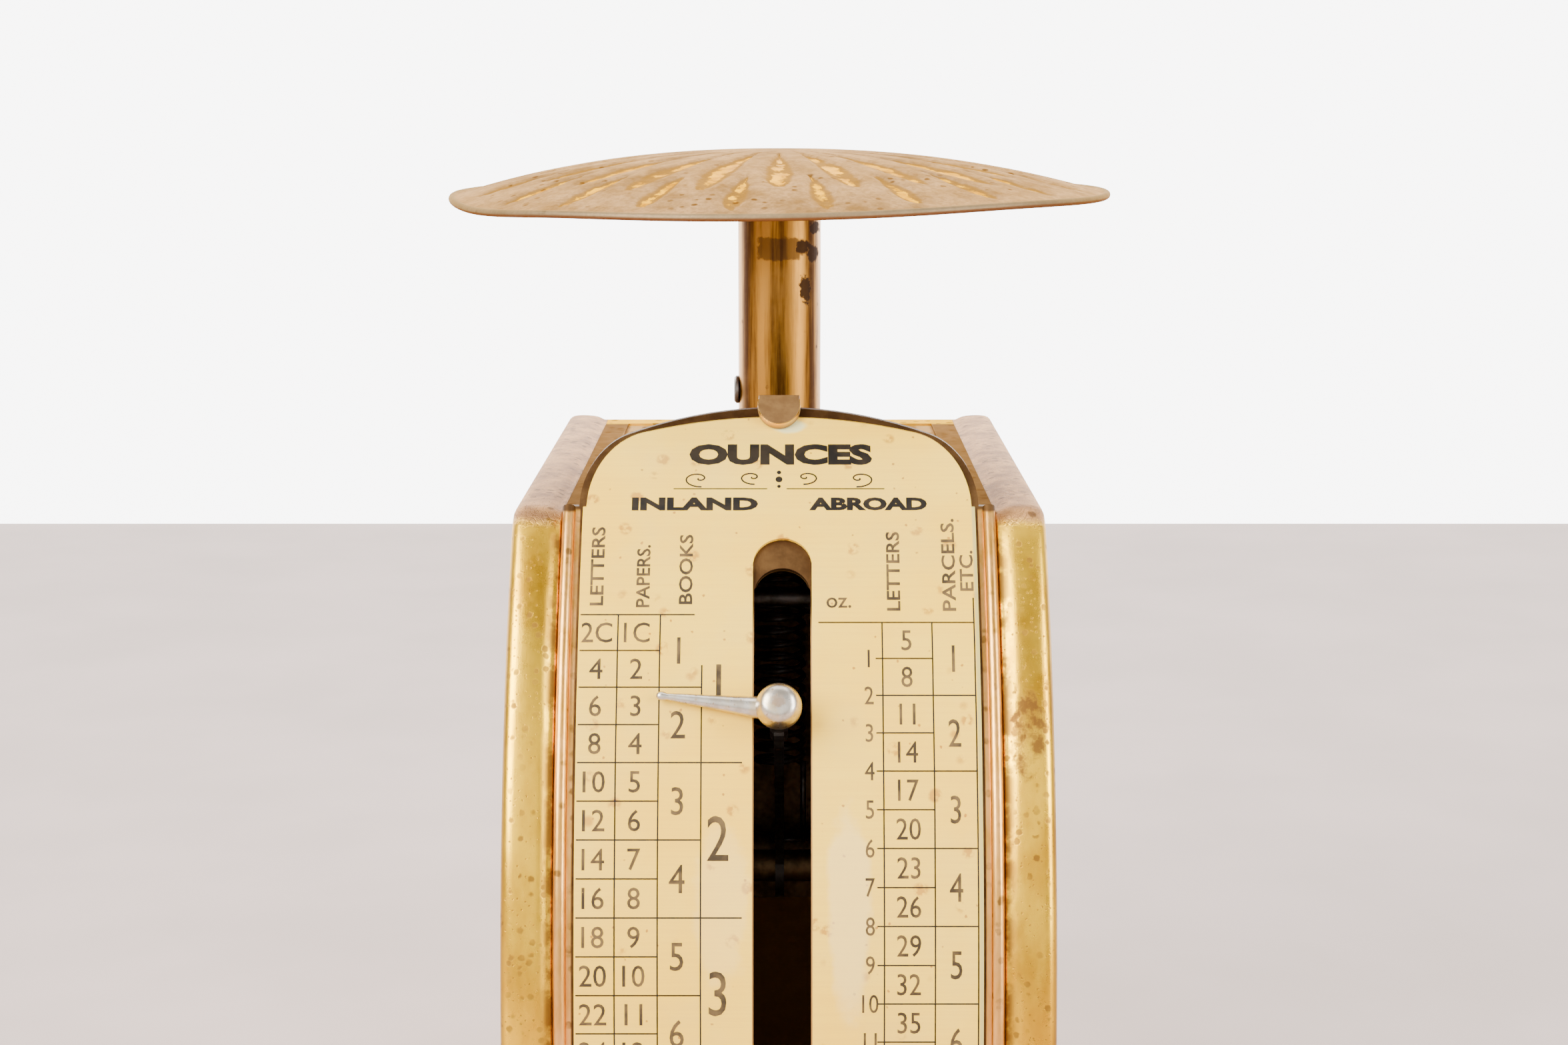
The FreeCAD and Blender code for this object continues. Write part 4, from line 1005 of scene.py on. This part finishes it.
def warp(radius, angle):
    """The thin pan is a little out of true: bent down at the front left, up at the right."""
    # Direction and spread in degrees, lift at the rim in mm.
    bends = ((-150, 20, -1.0), (-115, 25, -0.45), (-85, 30, -0.35), (-48, 24, 0.40), (10, 30, 0.35),
             (95, 60, 0.2))
    lift = 0.0
    for middle, spread, height in bends:
        off = (degrees(angle) - middle + 180) % 360 - 180
        lift += height * MM * exp(-(off / spread) ** 2)
    return lift * radius ** 4


def make_pan():
    sheet, bead = 0.8 * MM, 0.46 * MM
    rim = PAN_RADIUS - bead
    low = PAN_LOW.z + 0.8 * MM
    crown = PAN_HIGH.z - low
    samples = 64
    profile = [(rim * number / samples, 1.0 - (number / samples) ** DOME) for number in range(samples + 1)]
    mesh = bmesh.new()
    top = [(radius, low + crown * share) for radius, share in profile[:-1]]
    edge = [(rim + bead * sin(turn), low + bead * cos(turn))
            for turn in [pi * number / 10 for number in range(11)]]
    under = [(radius, low + crown * share - sheet) for radius, share in reversed(profile[:-1:2])]
    spun(mesh, top + edge + under, 360)
    hollow = mesh.verts.layers.float.new("hollow")
    underside = mesh.verts.layers.float.new("underside")
    for vert in mesh.verts:
        radius = hypot(vert.co.x, vert.co.y)
        angle = atan2(vert.co.y, vert.co.x)
        share = radius / PAN_RADIUS
        sagged = low + crown * (1.0 - (radius / rim) ** DOME)
        below = vert.co.z < sagged - sheet / 2 and radius < rim
        depth = petal(share, angle)
        vert[hollow] = 0.0 if below else depth
        vert[underside] = 1.0 if below or vert.co.z < low - 0.1 * bead else 0.0
        vert.co.z += warp(share, angle) - depth * PETAL_DEPTH
        vert.co.y += LOAD.y
    finish(mesh, "pan", pan_brass(), "carriage", replaces=("weighing_pan",))


# ---- spring

def make_spring(steel):
    """A close-wound coil between the hanger's eye and the hook on the lever."""
    low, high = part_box("spring")
    middle = (low + high) / 2
    wire, coil = 0.42 * MM, 3.35 * MM
    turns, steps = 15, 28
    start, end = FULCRUM.z + 18.6 * MM, FULCRUM.z + 47.0 * MM
    mesh = bmesh.new()
    ring = bmesh.ops.create_circle(mesh, cap_ends=False, segments=10, radius=wire,
                                   matrix=at((coil, 0, start))
                                   @ QUARTER["X"])
    section = ring["verts"]
    edges = list({edge for vert in section for edge in vert.link_edges})
    bmesh.ops.spin(mesh, geom=list(section) + edges, cent=(0, 0, 0), axis=(0, 0, 1),
                   dvec=(0, 0, (end - start) / (turns * steps)), angle=tau * turns,
                   steps=turns * steps, use_merge=False, use_normal_flip=False, use_duplicate=False)
    fill_holes(mesh)
    for base, tip in ((low.z + 0.3 * MM, start + 0.6 * MM), (end - 0.6 * MM, high.z - 0.3 * MM)):
        rod(mesh, 10, wire, tip - base, at((coil, 0, (base + tip) / 2)))
    for level in (low.z + 0.4 * MM, high.z - 0.4 * MM):
        rod(mesh, 10, 0.35 * MM, coil + 1.4 * MM,
            at((coil / 2 - 0.5 * MM, 0, level)) @ QUARTER["Y"])
    mesh.transform(at((0, middle.y, 0)))
    spring = finish(mesh, "wound_spring", steel, None, replaces=("spring",))
    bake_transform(spring)


# ---- stage, light and camera

WALL = 1.3
TABLE_END = 0.535
SKY_STRENGTH, WALL_GLOW = 0.65, 7.0
LOOK_DOWN = 10.0                # degrees
AIM = (0, 0, 0.08)
EYE = (0.0, -6.035, 1.861)      # from the fulcrum, in case widths


def make_camera():
    """Eye a little above the case top, six case widths in front of the fulcrum."""
    data = bpy.data.cameras.new("camera")
    data.lens = 60
    data.sensor_width = 36
    camera = new_object("camera", data)
    camera.location = FULCRUM + Vector(EYE) * 2 * CASE_HALF + Vector((0.6 * MM, 0, 0))
    camera.rotation_euler = (radians(90 - LOOK_DOWN), 0, 0)
    bpy.context.scene.camera = camera


def area_light(name, place, target, size, power, colour=(1, 1, 1)):
    data = bpy.data.lights.new(name, "AREA")
    data.shape = "RECTANGLE"
    data.size, data.size_y = size
    data.energy = power
    data.color = colour
    light = new_object(name, data)
    light.location = place
    light.rotation_euler = (Vector(target) - Vector(place)).to_track_quat("-Z", "Y").to_euler()
    light.visible_camera = False


def stage_sheet(name, low, high, material, upright=False):
    """A flat rectangle of the set, lying down or standing up."""
    mesh = bmesh.new()
    bmesh.ops.create_grid(mesh, x_segments=2, y_segments=2, size=0.5)
    mesh.transform(at(((low[0] + high[0]) / 2, (low[1] + high[1]) / 2, 0))
                   @ Matrix.Diagonal((high[0] - low[0], high[1] - low[1], 1, 1)))
    if upright:
        mesh.transform(at((0, WALL, 0)) @ QUARTER["X"])
    data = bpy.data.meshes.new(name)
    mesh.to_mesh(data)
    mesh.free()
    data.materials.append(material)
    new_object(name, data)


def make_stage():
    world = bpy.data.worlds.new("studio")
    bpy.context.scene.world = world
    world.use_nodes = True
    sky = world.node_tree.nodes["Background"].inputs
    sky["Color"].default_value = (1.0, 0.985, 0.97, 1)
    sky["Strength"].default_value = SKY_STRENGTH

    material, tree, shader, place = new_material("pale floor")
    paper = blend_colour(tree, rise(tree, noise(tree, place, 0.02, 3.0), 0.3, 0.7),
                         (0.46, 0.36, 0.32), (0.51, 0.40, 0.36))
    set_shader(tree, shader, Base_Color=paper, Roughness=0.75)
    stage_sheet("floor", (-3.0, -3.5), (3.0, TABLE_END), material)
    material, tree, shader, place = new_material("white wall")
    set_shader(tree, shader, Base_Color=(0.8, 0.8, 0.8, 1.0), Roughness=0.9,
               Emission_Color=(1.0, 0.99, 0.985, 1.0), Emission_Strength=WALL_GLOW)
    stage_sheet("wall", (-2.0, -1.0), (2.0, 1.6), material, upright=True)

    area_light("window", (-0.42, -0.36, 0.42), AIM, (0.35, 0.45), 9.0, (1.0, 0.98, 0.95))
    area_light("fill", (0.5, -0.32, 0.30), AIM, (0.25, 0.5), 5.0)
    area_light("front", (-0.2, -2.4, 0.9), AIM, (2.6, 1.6), 16.0, (1.0, 0.985, 0.96))
    area_light("top", (0.0, 0.1, 0.7), AIM, (0.6, 0.6), 4.0)


# ---- put it together

def repaint(material, *labels):
    """Give carried-over nodes a better finish in the slots that they have."""
    for label in labels:
        for holder in frame["nodes"][label].material_slots:
            holder.material = material


def paint_nodes(steel):
    repaint(top_brass(), "top_plate")
    repaint(plate_brass("back plate brass", (0.66, 0.39, 0.085), (0.44, 0.23, 0.04), 0.3), "back_plate")
    repaint(plate_brass("base plate brass", (0.56, 0.33, 0.08), (0.34, 0.18, 0.04), 0.36), "base_plate")
    repaint(holder_brass(), "dial_holder")
    repaint(celluloid(), "dial")
    repaint(tube_brass(), "pan_post")
    repaint(dull_metal("boss brass", (0.50, 0.30, 0.15), (0.28, 0.15, 0.07), 0.35), "pan_boss")
    repaint(dull_metal("inner brass", (0.30, 0.19, 0.09), (0.14, 0.085, 0.04), 0.42), "lever_bracket", "yoke",
            "check_link", "bracket_rivets", "adjusting_nut", "fulcrum_spacers", "load_spacers", "post_stem")
    repaint(steel, "fulcrum_pin", "check_link_back_pin", "load_pin", "link_front_pin", "base_screws",
            "spring_hanger", "post_screw", "pointer_stud")
    repaint(dull_metal("lever steel", (0.13, 0.12, 0.11), (0.06, 0.052, 0.045), 0.45), "main_lever")


STEEL = dull_metal("dark steel", (0.30, 0.28, 0.26), (0.14, 0.12, 0.10), 0.35)
SPRING_STEEL = dull_metal("spring steel", (0.24, 0.23, 0.22), (0.11, 0.10, 0.09), 0.32)
paint_nodes(STEEL)
make_sides(drawn_side_brass())
print_dial()
make_tab()
make_pointer(nickel())
make_pan()
make_spring(SPRING_STEEL)
make_camera()
make_stage()
